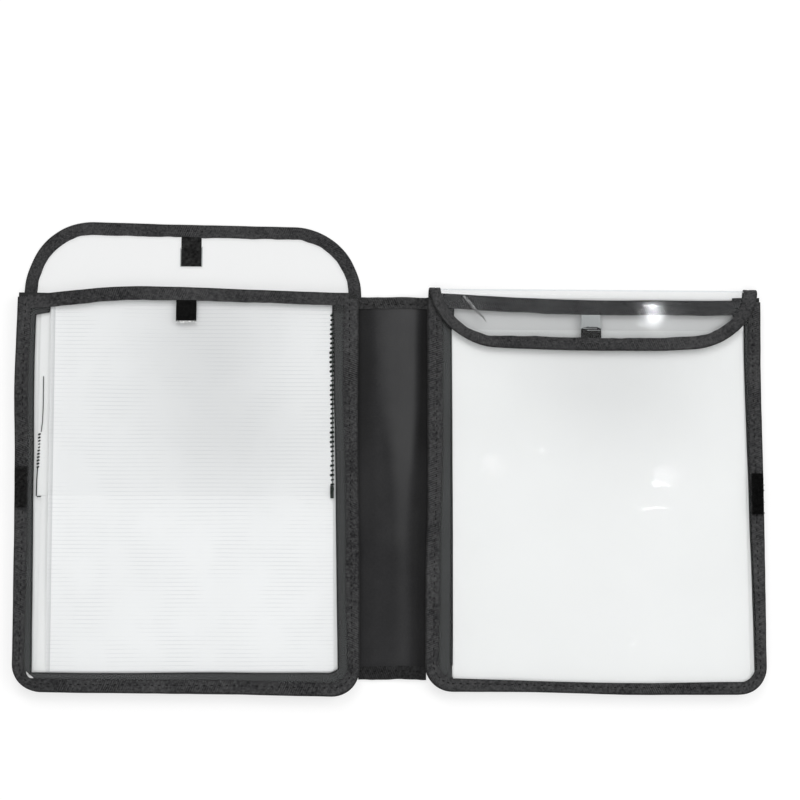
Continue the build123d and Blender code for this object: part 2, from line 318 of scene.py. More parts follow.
SHEET_LIFT = {"left": 3.4, "right": 4.6}  # how far the sheets are pressed up towards the front film

# Where a pocket's film flattens below its mouth, and the share of its slack that is left there
FLAT_BY_MOUTH = {"left": (16, 0.35), "right": (60, 0.05)}

# Broad patches of painted shade on each pocket's sheets: middle, width, height and strength
PAINTED_SHADE_PATCHES = {
    "left": ((135, 86, 52, 50, 0.27), (116, 14, 70, 42, 0.2)),
    "right": ((164, 62, 80, 60, 0.26),),
}
PAD_TONE = 0.07  # how much greyer the ruled sheet is on the pad
PAD_DROP = 0.4  # how far the ruled sheet dips below the pad
CURL_REACH = 9.0  # width of the ruled sheet's curled outer edge
CURL_FROM, CURL_GROW = -140.0, 70.0  # where that edge starts to curl, and over how far it grows
CURL_W, CURL_SHADE = 3.2, 0.5  # the rim of that edge, greyed with painted shade: its width and strength

# The pads' bindings: ends of each coil with its loop radius, wire radius and pitch,
# and lengths of plain wire with their radius
COIL_TURN = (-25, 205)  # degrees of a loop above the sheet
COILS = (
    ((43.4, PAD_LOW + 5.0), (44.1, 106.0), 0.75, 0.88, 3.5),
    ((257.2, -10.0), (256.6, 16.0), 0.4, 0.66, 2.4),
)
WIRES = (
    (((43.5, PAD_LOW - 1.4), (43.6, PAD_LOW + 2.5), (43.6, PAD_LOW + 7.4)), 1.3),
    (((43.3, PAD_LOW + 5.0), (43.6, 60.0), (44.0, 106.0)), 0.26),
    (((254.7, 57.0), (254.4, 36.0), (254.6, 24.0), (255.4, 16.0)), 0.3),
    (
        (
            (257.3, -10.0), (257.7, -20.0), (257.7, PAD_LOW - 0.2),
            (257.0, PAD_LOW - 0.9), (254.4, PAD_LOW - 0.9),
        ),
        0.4,
    ),
)

# A pinched crease across the closed flap's film: places along it, its width there, height and thickness
CREASE = ((53.2, 118.4), (56.2, 115.2), (59.6, 110.8), (63.2, 106.4), (67.4, 102.4), (70.0, 98.4))
CREASE_W = (1.6, 2.3, 2.3, 1.9, 1.2, 0.4)
CREASE_LIFT = 0.35
CREASE_T = 0.08

# Looks
FILM_IOR = 1.2
FILM_MIRROR = 0.4  # the most that a film mirrors, at a slant
# paper is pulled towards this grey for its painted shade and for the pad's greyer tone
GREYED_PAPER = (0.4, 0.405, 0.41, 1)
RULE_PITCH = 3.0  # millimetres between ruled lines
RULE_COLOUR = (0.45, 0.47, 0.49, 1)
FOLD_SHADE_BLACK = (0.002, 0.002, 0.002, 1)  # painted shade of cloth in a deep fold

# Seeds of the uneven shapes
TAPE_SEED = {"left": 41, "right": 57}
MOUTH_SEED = {"left": 91, "right": 97}
FILM_SEED = {"left": 3, "right": 8}
GUSSET_SEED = {"left": 11, "right": 12}
HEM_SEED = {"top": 81, "bottom": 85}
FLAP_SEED, FLAP_FILM_SEED, TAB_SEAM_SEED = 31, 21, 33
FOLDS_SEED, WEAR_SEED, HEM_WAVE_SEED = 71, 73, 77
SHEET_SEED, GLUE_SEED = 60, 15

# Camera, with lengths in millimetres and turns in radians
LENS = 94.5
SENSOR = 36.0
CAMERA_DISTANCE = 1551.5
CAMERA_RISE = math.radians(80.67)
CAMERA_LEAN = -0.0429
CAMERA_ROLL = 0.0055
CAMERA_TARGET = (6.5, 42.0, 0.0)

# Light and floor, in metres and watts
SKY = 0.5  # what the white surroundings give as light
FLOOR_TONE = 0.43
FLOOR_GLOW = 0.6  # what the floor adds where it is seen, so that the background is white
FLOOR_HALF = 3.0
FLOOR_LEVEL = -0.0003

# Large soft lamps, out of the way of the films' reflection: place, size and power
LAMP_TARGET = (0, -0.02, 0)
LAMPS = (
    ("side lamp", (1.8, 0.5, 1.9), 1.6, 17.0),
    ("front lamp", (-0.4, -1.7, 3.0), 2.0, 28.5),
    ("back lamp", (-0.4, 2.5, 3.0), 2.0, 40.0),
)

# Small lamps that sparkle in the films: place, size and power
GLINT_HEIGHT = 1.53
GLINT_TARGET = (0.15, 0, 0)
GLINTS = (
    (0.208, 0.226, 0.006, 0.007),
    (0.298, 0.212, 0.005, 0.004),
    (0.436, 0.140, 0.006, 0.007),
    (0.410, -0.040, 0.006, 0.006),
    (0.446, 0.421, 0.013, 0.14),
)


def smooth(share):
    """Eases from 0 to 1."""
    share = np.clip(share, 0, 1)
    return share * share * (3 - 2 * share)


def hump(value, middle, width):
    """A soft rise round a middle value."""
    return np.exp(-(((value - middle) / width) ** 2))


def wander(values, length, seed):
    """Uneven hand-sewn drift along a line, between -1 and 1."""
    return np.array([noise.noise((v / length, seed * 7.31, 0.37)) for v in np.ravel(values)])


def ripple(x, y, length, seed):
    """Uneven drift over a surface, between -1 and 1."""
    spots = zip(np.ravel(x) / length, np.ravel(y) / length)
    flat = [noise.noise((a, b, seed * 3.17)) for a, b in spots]
    return np.array(flat).reshape(np.shape(x))


def eased(table, value):
    """A measure between the places of a table, with its corners smoothed."""
    places, measures = zip(*table)
    value = np.asarray(value, float)
    near = [np.interp(value + shift, places, measures) for shift in EASE_STEPS]
    return sum(near) / len(near)


def drift_along(values, seed, layers):
    """Uneven drift along a line in waves of several strengths and lengths."""
    return sum(part * wander(values, length, seed + order) for order, (part, length) in enumerate(layers))


def drift_over(x, y, seed, layers):
    """Uneven drift over a surface in waves of several strengths and lengths."""
    return sum(part * ripple(x, y, length, seed + order) for order, (part, length) in enumerate(layers))


def round_drop(radius, into):
    """How far a quarter round falls away at a distance into it."""
    return radius - np.sqrt(np.clip(radius**2 - into**2, 0, None))


def mouth_rise(side, x):
    """How far the mouth's edge stands above the cover's top edge."""
    return eased(MOUTH_RISE[side], x)


def strayed(points, side):
    """Moves the points of a cover with its uneven sewn edge."""
    x, y, z = np.array(points, float).T
    outer = np.clip((x - X_MID) / (X_OUT - X_MID), 0, 1)
    inner = np.clip((X_MID - x) / (X_MID - X_IN), 0, 1)
    lower = np.clip((y - Y_BOTTOM) / STRAY_FADE, 0, 1)
    sideways = x + eased(OUTER_STRAY[side], y) * outer - eased(INNER_STRAY[side], y) * inner
    return np.stack([sideways, y + eased(BOTTOM_STRAY[side], x) * (1 - lower), z], -1)


def tape_share(side, place):
    """How wide the cover's tape is at each place along the edge, as a share of its full width."""
    x, y = place.T
    up = np.clip((y - Y_BOTTOM) / CORNER_R, 0, 1)
    at_side = np.where(x > X_MID, eased(OUTER_TAPE[side], y), eased(INNER_TAPE[side], y))
    share = eased(BOTTOM_TAPE[side], x) * (1 - up) + at_side * up
    return share - SLIT_NARROW * slit_share(side, place)


def slit_share(side, place):
    """Rises to one at the middle of the left cover's outer corner."""
    on_round = CORNER_R * (1 - math.sqrt(0.5))
    away = np.hypot(place[:, 0] - (X_OUT - on_round), place[:, 1] - (Y_BOTTOM + on_round))
    return np.clip(1 - (away / SLIT_L) ** 2, 0, 1) * (side == "left")


# Node helpers


def put(tree, kind, wires=(), **settings):
    """Adds a node, sets its options, and gives inputs a value or a wire."""
    made = tree.nodes.new(kind)
    for label, value in settings.items():
        setattr(made, label, value)
    for label, value in dict(wires).items():
        if isinstance(value, bpy.types.NodeSocket):
            tree.links.new(value, made.inputs[label])
        else:
            made.inputs[label].default_value = value
    return made


def calc(tree, operation, *values):
    """A sum of one step."""
    return put(tree, "ShaderNodeMath", dict(enumerate(values)), operation=operation).outputs[0]


def span_to(tree, value, low, high, from_low=0.0, from_high=1.0):
    """Maps a value onto a range."""
    wires = {"Value": value, "From Min": from_low, "From Max": from_high, "To Min": low, "To Max": high}
    return put(tree, "ShaderNodeMapRange", wires).outputs["Result"]


def blend_colour(tree, share, first, second):
    """A colour between two, by a share."""
    return put(tree, "ShaderNodeMix", {0: share, 6: first, 7: second}, data_type="RGBA").outputs[2]


def mark(tree, label):
    """A measure kept on the mesh: millimetres along and across it, or a share of tone and painted light and
    shade.
    """
    return put(tree, "ShaderNodeAttribute", attribute_name=label).outputs["Fac"]


def effect(name, inputs, outputs):
    """An empty node group with number sockets."""
    tree = bpy.data.node_groups.new(name, "ShaderNodeTree")
    for label, value in inputs.items():
        socket = tree.interface.new_socket(label, in_out="INPUT", socket_type="NodeSocketFloat")
        socket.default_value = value
    for label in outputs:
        tree.interface.new_socket(label, in_out="OUTPUT", socket_type="NodeSocketFloat")
    return tree, tree.nodes.new("NodeGroupInput").outputs, tree.nodes.new("NodeGroupOutput").inputs


def use(tree, group, **wires):
    """Places a node group in a material."""
    return put(tree, "ShaderNodeGroup", wires, node_tree=group).outputs


def waves(tree, measure, pitch):
    """A sine wave of a given pitch, between -1 and 1."""
    turns = calc(tree, "DIVIDE", measure, pitch)
    return calc(tree, "SINE", calc(tree, "MULTIPLY", turns, math.tau))


def speckle(tree, scale, detail=2.0):
    """Noise fixed to the piece."""
    place = put(tree, "ShaderNodeTexCoord").outputs["Object"]
    wires = {"Vector": place, "Scale": scale, "Detail": detail}
    return put(tree, "ShaderNodeTexNoise", wires).outputs["Fac"]


def unevenness(tree, scale, strength, detail=2.0):
    """Noise round zero, with a strength."""
    return calc(tree, "MULTIPLY", calc(tree, "SUBTRACT", speckle(tree, scale, detail), 0.5), strength)


def share_out(tree, first, second, share):
    """A sum of two values, the first with a share and the second with the rest."""
    return calc(tree, "ADD", calc(tree, "MULTIPLY", first, share), calc(tree, "MULTIPLY", second, 1 - share))


def rib_effect():
    """Slanting ribs of woven edge tape, stronger in some places, with uneven yarns."""
    inputs = {"Along": 0.0, "Across": 0.0, "Pitch": 1.6, "Slant": 0.4}
    tree, given, out = effect("tape ribs", inputs, ("Height", "Shade"))
    push = unevenness(tree, 260.0, 0.6)
    slope = calc(tree, "MULTIPLY", given["Across"], given["Slant"])
    ribs = waves(tree, calc(tree, "ADD", calc(tree, "ADD", given["Along"], slope), push), given["Pitch"])
    patchy = span_to(tree, speckle(tree, 42.0, 3.0), 0.0, 1.0, 0.45, 0.7)
    weave = calc(tree, "MULTIPLY", ribs, patchy)
    tree.links.new(span_to(tree, weave, 0.0, 1.0, -1.0, 1.0), out["Height"])
    fuzz = calc(tree, "ADD", unevenness(tree, 620.0, 2.2, 3.0), unevenness(tree, 280.0, 1.0, 3.0))
    shade = calc(tree, "ADD", calc(tree, "MULTIPLY", weave, 0.5), fuzz)
    tree.links.new(span_to(tree, shade, 0.0, 1.0, -0.5, 0.5), out["Shade"])
    return tree


def weave_effect():
    """Plain weave: warp and weft that pass over and under each other."""
    inputs = {"Along": 0.0, "Across": 0.0, "Pitch": 0.8}
    tree, given, out = effect("plain weave", inputs, ("Height", "Shade"))
    warp = waves(tree, given["Across"], given["Pitch"])
    weft = waves(tree, given["Along"], given["Pitch"])
    height = share_out(tree, calc(tree, "MULTIPLY", warp, weft), weft, 0.7)
    tree.links.new(span_to(tree, height, 0.0, 1.0, -1.0, 1.0), out["Height"])
    shade = calc(tree, "ADD", calc(tree, "MULTIPLY", height, 0.35), unevenness(tree, 700.0, 1.2, 3.0))
    tree.links.new(span_to(tree, shade, 0.0, 1.0, -0.6, 0.6), out["Shade"])
    return tree


def drift_effect():
    """Slow changes of tone, as from handling and dye."""
    tree, given, out = effect("tone drift", {"Scale": 20.0, "Low": 0.35, "High": 0.65}, ("Tone",))
    tone = speckle(tree, given["Scale"], 3.0)
    tree.links.new(span_to(tree, tone, 0.0, 1.0, given["Low"], given["High"]), out["Tone"])
    return tree


def rub_and_shade_effect():
    """Wear and painted shade along a folded edge, broken up by noise."""
    tree, given, out = effect("rubbed and shaded edge", {"Across": 0.0, "Width": 1.0}, ("Mask",))
    away = calc(tree, "DIVIDE", calc(tree, "ABSOLUTE", given["Across"]), given["Width"])
    near = calc(tree, "SUBTRACT", 1.0, calc(tree, "MINIMUM", away, 1.0))
    patchy = span_to(tree, speckle(tree, 120.0, 4.0), 0.4, 1.0, 0.35, 0.65)
    tree.links.new(calc(tree, "MULTIPLY", near, patchy), out["Mask"])
    return tree


def fibre_effect():
    """Fibres and cloudiness of paper."""
    tree, given, out = effect("paper fibre", {"Scale": 900.0}, ("Height", "Cloud"))
    fine = speckle(tree, given["Scale"], 4.0)
    tree.links.new(fine, out["Height"])
    mixed = share_out(tree, speckle(tree, 14.0, 3.0), fine, 0.7)
    tree.links.new(span_to(tree, mixed, 0.0, 1.0, 0.3, 0.7), out["Cloud"])
    return tree


TAPE_RIBS = rib_effect()
PLAIN_WEAVE = weave_effect()
TONE_DRIFT = drift_effect()
RUBBED_AND_SHADED_EDGE = rub_and_shade_effect()
PAPER_FIBRE = fibre_effect()


def finish_tree(name, constants):
    """A new material with its shader, and what stays the same all over it."""
    made = bpy.data.materials.new(name)
    made.use_nodes = True
    tree = made.node_tree
    shader = tree.nodes["Principled BSDF"]
    for label, value in constants.items():
        shader.inputs[label].default_value = value
    return made, tree, shader


def raise_surface(tree, shader, height, depth, strength=1.0):
    """Puts a height on the shader as bump, depth in millimetres."""
    wires = {"Height": height, "Distance": depth * MM, "Strength": strength}
    tree.links.new(put(tree, "ShaderNodeBump", wires).outputs["Normal"], shader.inputs["Normal"])


def tape_finish(name, dark, light, tone_and_painted_light):
    """Black ribbed edge tape, with another tone along its fold: painted shade where that tone is dark, wear
    where it is pale.
    """
    constants = {"Specular IOR Level": 0.12, "Sheen Weight": 0.06, "Sheen Roughness": 0.5}
    made, tree, shader = finish_tree(name, constants)
    ribs = use(tree, TAPE_RIBS, Along=mark(tree, "along"), Across=mark(tree, "across"), Pitch=1.6)
    tone = use(tree, TONE_DRIFT, Scale=30.0)["Tone"]
    rubbed_and_shaded = use(tree, RUBBED_AND_SHADED_EDGE, Across=mark(tree, "across"), Width=1.6)["Mask"]
    colour = blend_colour(tree, share_out(tree, ribs["Shade"], tone, 0.7), dark, light)
    tree.links.new(blend_colour(tree, rubbed_and_shaded, colour, tone_and_painted_light), shader.inputs["Base Color"])
    tree.links.new(span_to(tree, ribs["Shade"], 0.72, 0.55), shader.inputs["Roughness"])
    raise_surface(tree, shader, ribs["Height"], 0.28)
    return made


def cloth_finish(name, dark, light, tone_and_painted_light, pitch, depth, grain):
    """Black plain-woven cloth, paler with a painted highlight and patches of wear, and near black with
    painted shade in deep folds.
    """
    constants = {"Specular IOR Level": 0.12, "Sheen Weight": 0.05, "Sheen Roughness": 0.4}
    made, tree, shader = finish_tree(name, constants)
    weave = use(tree, PLAIN_WEAVE, Along=mark(tree, "along"), Across=mark(tree, "across"), Pitch=pitch)
    tone = use(tree, TONE_DRIFT, Scale=16.0)["Tone"]
    colour = blend_colour(tree, share_out(tree, weave["Shade"], tone, grain), dark, light)
    painted_light_and_tone = mark(tree, "tone_and_painted_light")
    paler = blend_colour(tree, calc(tree, "MAXIMUM", painted_light_and_tone, 0.0), colour, tone_and_painted_light)
    shade = calc(tree, "MAXIMUM", calc(tree, "MULTIPLY", painted_light_and_tone, -1.0), 0.0)
    tree.links.new(blend_colour(tree, shade, paler, FOLD_SHADE_BLACK), shader.inputs["Base Color"])
    tree.links.new(span_to(tree, weave["Shade"], 0.62, 0.44), shader.inputs["Roughness"])
    raise_surface(tree, shader, weave["Height"], depth)
    return made


def crease_highlight_finish(name):
    """A pale see-through film along a crease: a painted highlight."""
    constants = {"Base Color": (0.85, 0.86, 0.86, 1), "Roughness": 0.5}
    made, tree, shader = finish_tree(name, constants)
    tree.links.new(span_to(tree, speckle(tree, 300.0, 3.0), 0.03, 0.16, 0.3, 0.7), shader.inputs["Alpha"])
    return made


def film_finish(name, clearness):
    """Clear soft film: see-through head on, a mirror at a slant."""
    made, tree, shader = finish_tree(name, {"Base Color": (0.96, 0.98, 1.0, 1), "Metallic": 1.0})
    tone = use(tree, TONE_DRIFT, Scale=40.0)["Tone"]
    tree.links.new(span_to(tree, tone, 0.02, 0.07), shader.inputs["Roughness"])
    raise_surface(tree, shader, speckle(tree, 55.0, 2.0), 0.03)
    tint = (clearness, clearness + 0.002, clearness + 0.002, 1)
    clear = put(tree, "ShaderNodeBsdfTransparent", {"Color": tint})
    slant = put(tree, "ShaderNodeFresnel", {"IOR": FILM_IOR})
    share = calc(tree, "MINIMUM", slant.outputs["Fac"], FILM_MIRROR)
    wires = {0: share, 1: clear.outputs["BSDF"], 2: shader.outputs["BSDF"]}
    mixed = put(tree, "ShaderNodeMixShader", wires)
    tree.links.new(mixed.outputs["Shader"], tree.nodes["Material Output"].inputs["Surface"])
    return made


def paper_finish(name, pale, shaded, ruling=0.0):
    """Uncoated paper, greyer where marked with painted shade and with the pad's greyer tone, with faint
    ruled lines if asked for.
    """
    made, tree, shader = finish_tree(name, {"Specular IOR Level": 0.15})
    fibre = use(tree, PAPER_FIBRE, Scale=900.0)
    colour = blend_colour(tree, fibre["Cloud"], shaded, pale)
    colour = blend_colour(tree, mark(tree, "tone_and_painted_light"), colour, GREYED_PAPER)
    if ruling:
        drift = calc(tree, "MULTIPLY", speckle(tree, 12.0, 2.0), 2.0)
        line = waves(tree, calc(tree, "ADD", mark(tree, "along"), drift), RULE_PITCH)
        faint = calc(tree, "MULTIPLY", span_to(tree, line, 0.0, 1.0, 0.7, 1.0), ruling)
        patchy = span_to(tree, speckle(tree, 34.0, 3.0), 0.1, 1.0, 0.38, 0.6)
        share = calc(tree, "MULTIPLY", faint, patchy)
        colour = blend_colour(tree, share, colour, RULE_COLOUR)
    tree.links.new(colour, shader.inputs["Base Color"])
    tree.links.new(span_to(tree, fibre["Height"], 0.8, 0.95), shader.inputs["Roughness"])
    raise_surface(tree, shader, fibre["Height"], 0.03)
    return made


def pile_finish(name, dark, light, shine):
    """Black nylon hook or loop pile."""
    made, tree, shader = finish_tree(name, {"Specular IOR Level": 0.08})
    tone = use(tree, TONE_DRIFT, Scale=420.0, Low=0.3, High=0.7)["Tone"]
    tree.links.new(blend_colour(tree, tone, dark, light), shader.inputs["Base Color"])
    tree.links.new(span_to(tree, tone, shine + 0.15, shine), shader.inputs["Roughness"])
    raise_surface(tree, shader, speckle(tree, 1100.0, 3.0), 0.2)
    return made


def thread_finish(name, dark, light):
    """Twisted sewing thread."""
    made, tree, shader = finish_tree(name, {"Specular IOR Level": 0.1})
    slope = calc(tree, "ADD", mark(tree, "along"), mark(tree, "across"))
    twist = span_to(tree, waves(tree, slope, 0.5), 0.0, 1.0, -1.0, 1.0)
    tree.links.new(blend_colour(tree, twist, dark, light), shader.inputs["Base Color"])
    tree.links.new(span_to(tree, twist, 0.75, 0.6), shader.inputs["Roughness"])
    raise_surface(tree, shader, twist, 0.08)
    return made


# the binding tape's third colour is painted shade along its folded edges
TAPE = tape_finish(
    "binding tape", (0.003, 0.003, 0.004, 1), (0.062, 0.062, 0.063, 1), (0.005, 0.005, 0.005, 1)
)
# the hems are the binding tape in other tones; the bottom hem's darker colours are painted shade
HEM_TAPE = {
    "top": tape_finish("top hem", (0.001, 0.001, 0.001, 1), (0.057, 0.057, 0.058, 1), (0.05, 0.05, 0.05, 1)),
    "bottom": tape_finish("bottom hem in painted shade", (0.0, 0.0, 0.0, 1), (0.025, 0.025, 0.026, 1), (0.02, 0.02, 0.02, 1)),
}
# the spine cloth's third colour is the painted highlight on its fold's crest
SPINE_CLOTH = cloth_finish(
    "spine cloth",
    dark=(0.011, 0.011, 0.012, 1),
    light=(0.025, 0.025, 0.026, 1),
    tone_and_painted_light=(0.05, 0.05, 0.051, 1),
    pitch=1.3,
    depth=0.08,
    grain=0.6,
)
GUSSET_CLOTH = cloth_finish(
    "gusset cloth",
    dark=(0.036, 0.037, 0.037, 1),
    light=(0.044, 0.046, 0.046, 1),
    tone_and_painted_light=(0.05, 0.052, 0.052, 1),
    pitch=0.5,
    depth=0.004,
    grain=0.12,
)
FILM = film_finish("clear film", 0.98)
FLAP_FILM = {"left": film_finish("hazed film", 0.945), "right": FILM}
CREASE_HIGHLIGHT = crease_highlight_finish("creased film highlight")
PAPER = {
    "white": paper_finish("white paper", (0.92, 0.925, 0.92, 1), (0.89, 0.895, 0.89, 1)),
    "ruled": paper_finish("ruled paper", (0.95, 0.954, 0.955, 1), (0.91, 0.915, 0.917, 1), 0.3),
    "card": paper_finish("backing card greyed as painted shade", (0.82, 0.82, 0.82, 1), (0.78, 0.78, 0.78, 1)),
    "glue": paper_finish("dried glue", (0.43, 0.445, 0.445, 1), (0.3, 0.315, 0.315, 1)),
}
HOOKS = pile_finish("hook pile", (0.001, 0.001, 0.001, 1), (0.024, 0.024, 0.024, 1), 0.6)
LOOPS = pile_finish("loop pile", (0.001, 0.001, 0.001, 1), (0.005, 0.005, 0.005, 1), 0.7)
THREAD = thread_finish("black thread", (0.001, 0.001, 0.001, 1), (0.006, 0.006, 0.006, 1))
GREY_THREAD = thread_finish("grey thread", (0.04, 0.04, 0.04, 1), (0.09, 0.09, 0.09, 1))
WIRE = thread_finish("coil wire", (0.004, 0.007, 0.005, 1), (0.016, 0.024, 0.018, 1))


# Mesh helpers


def make(name, side, part, finish):
    """A mesh piece from points in millimetres, faces and marks, mirrored for the left side."""
    points, faces, marks = part
    placed = np.array(points, float) * MM
    placed[:, 0] *= SIGN[side]
    mesh = bpy.data.meshes.new(name)
    mesh.from_pydata(placed.tolist(), [], faces)
    shell = bmesh.new()
    shell.from_mesh(mesh)
    bmesh.ops.recalc_face_normals(shell, faces=shell.faces)
    shell.to_mesh(mesh)
    shell.free()
    # the third mark is tone and painted light: painted shade in folds and on paper, a painted highlight on
    # the spine's crest
    for label, values in zip(("along", "across", "tone_and_painted_light"), marks):
        layer = mesh.attributes.new(label, "FLOAT", "POINT")
        layer.data.foreach_set("value", np.ravel(values).astype(np.float32))
    mesh.shade_smooth()
    mesh.set_sharp_from_angle(angle=SHARP_ANGLE)
    mesh.materials.append(finish)
    made = bpy.data.objects.new(name, mesh)
    bpy.context.collection.objects.link(made)
    return made


def tube_faces(rows, loop, first=0):
    """Faces of a closed section carried along rows, with a cap at each end."""
    faces = []
    for row in range(rows - 1):
        for place in range(loop):
            a = first + row * loop + place
            b = first + row * loop + (place + 1) % loop
            faces.append((a, b, b + loop, a + loop))
    last = first + (rows - 1) * loop
    faces.append(tuple(range(first + loop - 1, first - 1, -1)))
    faces.append(tuple(range(last, last + loop)))
    return faces


def slab(x, y, low, high, *tone_and_painted_light):
    """A thin sheet between two surfaces over one grid: points, faces and marks."""
    rows, columns = x.shape
    count = rows * columns
    points = np.concatenate(
        [np.stack([x, y, high], -1).reshape(-1, 3), np.stack([x, y, low], -1).reshape(-1, 3)]
    )
    faces = []
    for row in range(rows - 1):
        for column in range(columns - 1):
            a = row * columns + column
            quad = (a, a + 1, a + columns + 1, a + columns)
            faces.append(quad)
            faces.append(tuple(count + v for v in reversed(quad)))
    rim = list(range(columns - 1))
    rim += [row * columns + columns - 1 for row in range(rows - 1)]
    rim += [count - 1 - column for column in range(columns - 1)]
    rim += [(rows - 1 - row) * columns for row in range(rows - 1)]
    for a, b in zip(rim, rim[1:] + rim[:1]):
        faces.append((a, a + count, b + count, b))
    return points, faces, [np.tile(values.ravel(), 2) for values in (y, x, *tone_and_painted_light)]


def moved(part, change, *given):
    """A part with its points changed."""
    points, faces, marks = part
    return change(points, *given), faces, marks


def beside(line, least=0.0):
    """The direction to the left of a line, at each of its points."""
    ahead = np.gradient(line, axis=0)
    ahead /= np.linalg.norm(ahead, axis=1)[:, None] + least
    return np.stack([-ahead[:, 1], ahead[:, 0]], -1)


def lengths(line):
    """The length of a line up to each of its points."""
    return np.concatenate([[0], np.cumsum(np.linalg.norm(np.diff(line, axis=0), axis=1))])


def walk(parts, step):
    """An edge of straight runs and quarter rounds: its places, inward directions and length so far."""
    places = []
    inwards = []
    for part in parts:
        if len(part) == 2:
            start, end = np.array(part[0], float), np.array(part[1], float)
            length = np.linalg.norm(end - start)
            ahead = (end - start) / length
            shares = np.linspace(0, 1, max(2, math.ceil(length / step) + 1))[:, None]
            places.append(start + shares * (end - start))
            inwards.append(np.tile((-ahead[1], ahead[0]), (len(shares), 1)))
        else:
            middle, radius, first = part
            count = max(10, math.ceil(radius * math.pi / 2 / step)) + 1
            turn = np.radians(np.linspace(first, first + 90, count))
            out = np.stack([np.cos(turn), np.sin(turn)], -1)
            places.append(np.array(middle) + radius * out)
            inwards.append(-out)
    place = np.concatenate(places)
    inward = np.concatenate(inwards)
    gaps = np.linalg.norm(np.diff(place, axis=0), axis=1)
    keep = np.concatenate([[True], gaps > 0.01])
    length = np.concatenate([[0], np.cumsum(gaps)])
    return place[keep], inward[keep], length[keep]


def cover_edge(step=2.6, top=Y_TOP):
    """The cover's edge, from its mouth down the inner side, along the bottom and up the outer side."""
    low = Y_BOTTOM + CORNER_R
    return walk(
        [
            ((X_IN, top), (X_IN, low)),
            ((X_IN + CORNER_R, low), CORNER_R, 180),
            ((X_IN + CORNER_R, Y_BOTTOM), (X_OUT - CORNER_R, Y_BOTTOM)),
            ((X_OUT - CORNER_R, low), CORNER_R, 270),
            ((X_OUT, low), (X_OUT, top)),
        ],
        step,
    )


def flap_sides(side):
    """The flap's inner and outer side."""
    drift = FLAP_DRIFT * SIGN[side]
    inner, outer = FLAP_INSET[side]
    return X_IN + inner + drift, X_OUT - outer + drift


def flap_edge(side, step=1.3):
    """The open flap's edge, from the cover's outer corner round the tip to its inner corner."""
    x0, x1 = flap_sides(side)
    radius = Y_TIP - Y_TOP - FLAP_STRAIGHT
    high = Y_TIP - radius
    return walk(
        [
            ((x1, Y_TOP - FLAP_START), (x1, high)),
            ((x1 - radius, high), radius, 0),
            ((x1 - radius, Y_TIP), (x0 + radius, Y_TIP)),
            ((x0 + radius, high), radius, 90),
            ((x0, high), (x0, Y_TOP - FLAP_START)),
        ],
        step,
    )


def shaped_flap(points, side):
    """Widens a flap towards its fold, and carries the points of a closed flap round the fold."""
    x, y, z = np.array(points, float).T
    outer = smooth((x - X_MID) / 120 + 0.5)
    x = x + FLAP_FLARE[side] * (2 * outer - 1) * (1 - smooth((y - Y_TOP) / 26))
    rise = FLAP_SLANT[side] * (x - FLAP_LEVEL) - eased(FLAP_CURVE[side], x)
    y = y + rise * smooth((y - Y_TOP) / (Y_TIP - Y_TOP))
    if side == "right":
        bend = FOLD_L - FLAP_PULL[side]
        past = y - Y_TOP
        turn = np.clip(past, 0, bend) / bend * math.pi
        reach = FLAP_AXIS_Z - z
        y = Y_TOP + np.minimum(past, 0) - np.maximum(past - bend, 0) + reach * np.sin(turn)
        z = FLAP_AXIS_Z - reach * np.cos(turn)
    return np.stack([x, y, z], -1)


def tape_outline(width, z0, z1, puffed_below):
    """Outline of tape folded over an edge: inset, height, share of the seam's pull and distance across."""
    shares = np.array(TAPE_SECTION)
    inset = shares * width
    radius = min(TAPE_FOLD_R, (z1 - z0) / 2)
    drop = round_drop(radius, np.clip(radius - inset, 0, None))
    seam = hump(shares, STITCH_SHARE, 0.06)
    puff = TAPE_PUFF * np.sin(math.pi * np.clip(shares / STITCH_SHARE, 0, 1)) - SEAM_DIP * seam
    below = z0 + drop - (puff if puffed_below else -SEAM_DIP * seam)
    above = z1 - drop + puff
    inner_z = np.array([z1 - TAPE_T, z1 - TAPE_T, z0 + TAPE_T, z0 + TAPE_T])
    inner_u = np.array([width, TAPE_T + TAPE_HOLLOW, TAPE_T + TAPE_HOLLOW, width])
    u = np.concatenate([inset, [0], inset[::-1], inner_u])
    z = np.concatenate([below, [(z0 + z1) / 2], above[::-1], inner_z])
    dip = np.concatenate([seam, [0], -seam[::-1], np.zeros(4)])
    across = np.concatenate([-inset, [0], inset[::-1], inner_u])
    return u, z, dip, across


def tape_run(edge, width, z0, z1, seed, puffed_below=False, share=None, ruffle=1.0):
    """Folded tape along an edge, with hand-sewn drift, puckers at the stitches and an uneven inner edge."""
    place, inward, length = edge
    u, z, dip, across = tape_outline(width, z0, z1, puffed_below)
    drift = drift_along(length, seed, TAPE_DRIFT)
    loose = ruffle * drift_along(length, seed + 2, TAPE_LOOSE)
    share = np.ones(len(length)) if share is None else share
    pull = SEAM_PUCKER * (1 + np.cos(math.tau * length / STITCH_PITCH))
    inset = u[None, :] * share[:, None] + drift[:, None] + loose[:, None] * (u[None, :] / width) ** 3
    height = z[None, :] + pull[:, None] * dip[None, :]
    x = place[:, :1] + inward[:, :1] * inset
    y = place[:, 1:] + inward[:, 1:] * inset
    points = np.stack([x, y, height], -1).reshape(-1, 3)
    marks = np.repeat(length, len(u)), np.tile(across, len(length))
    return points, tube_faces(len(length), len(u)), marks


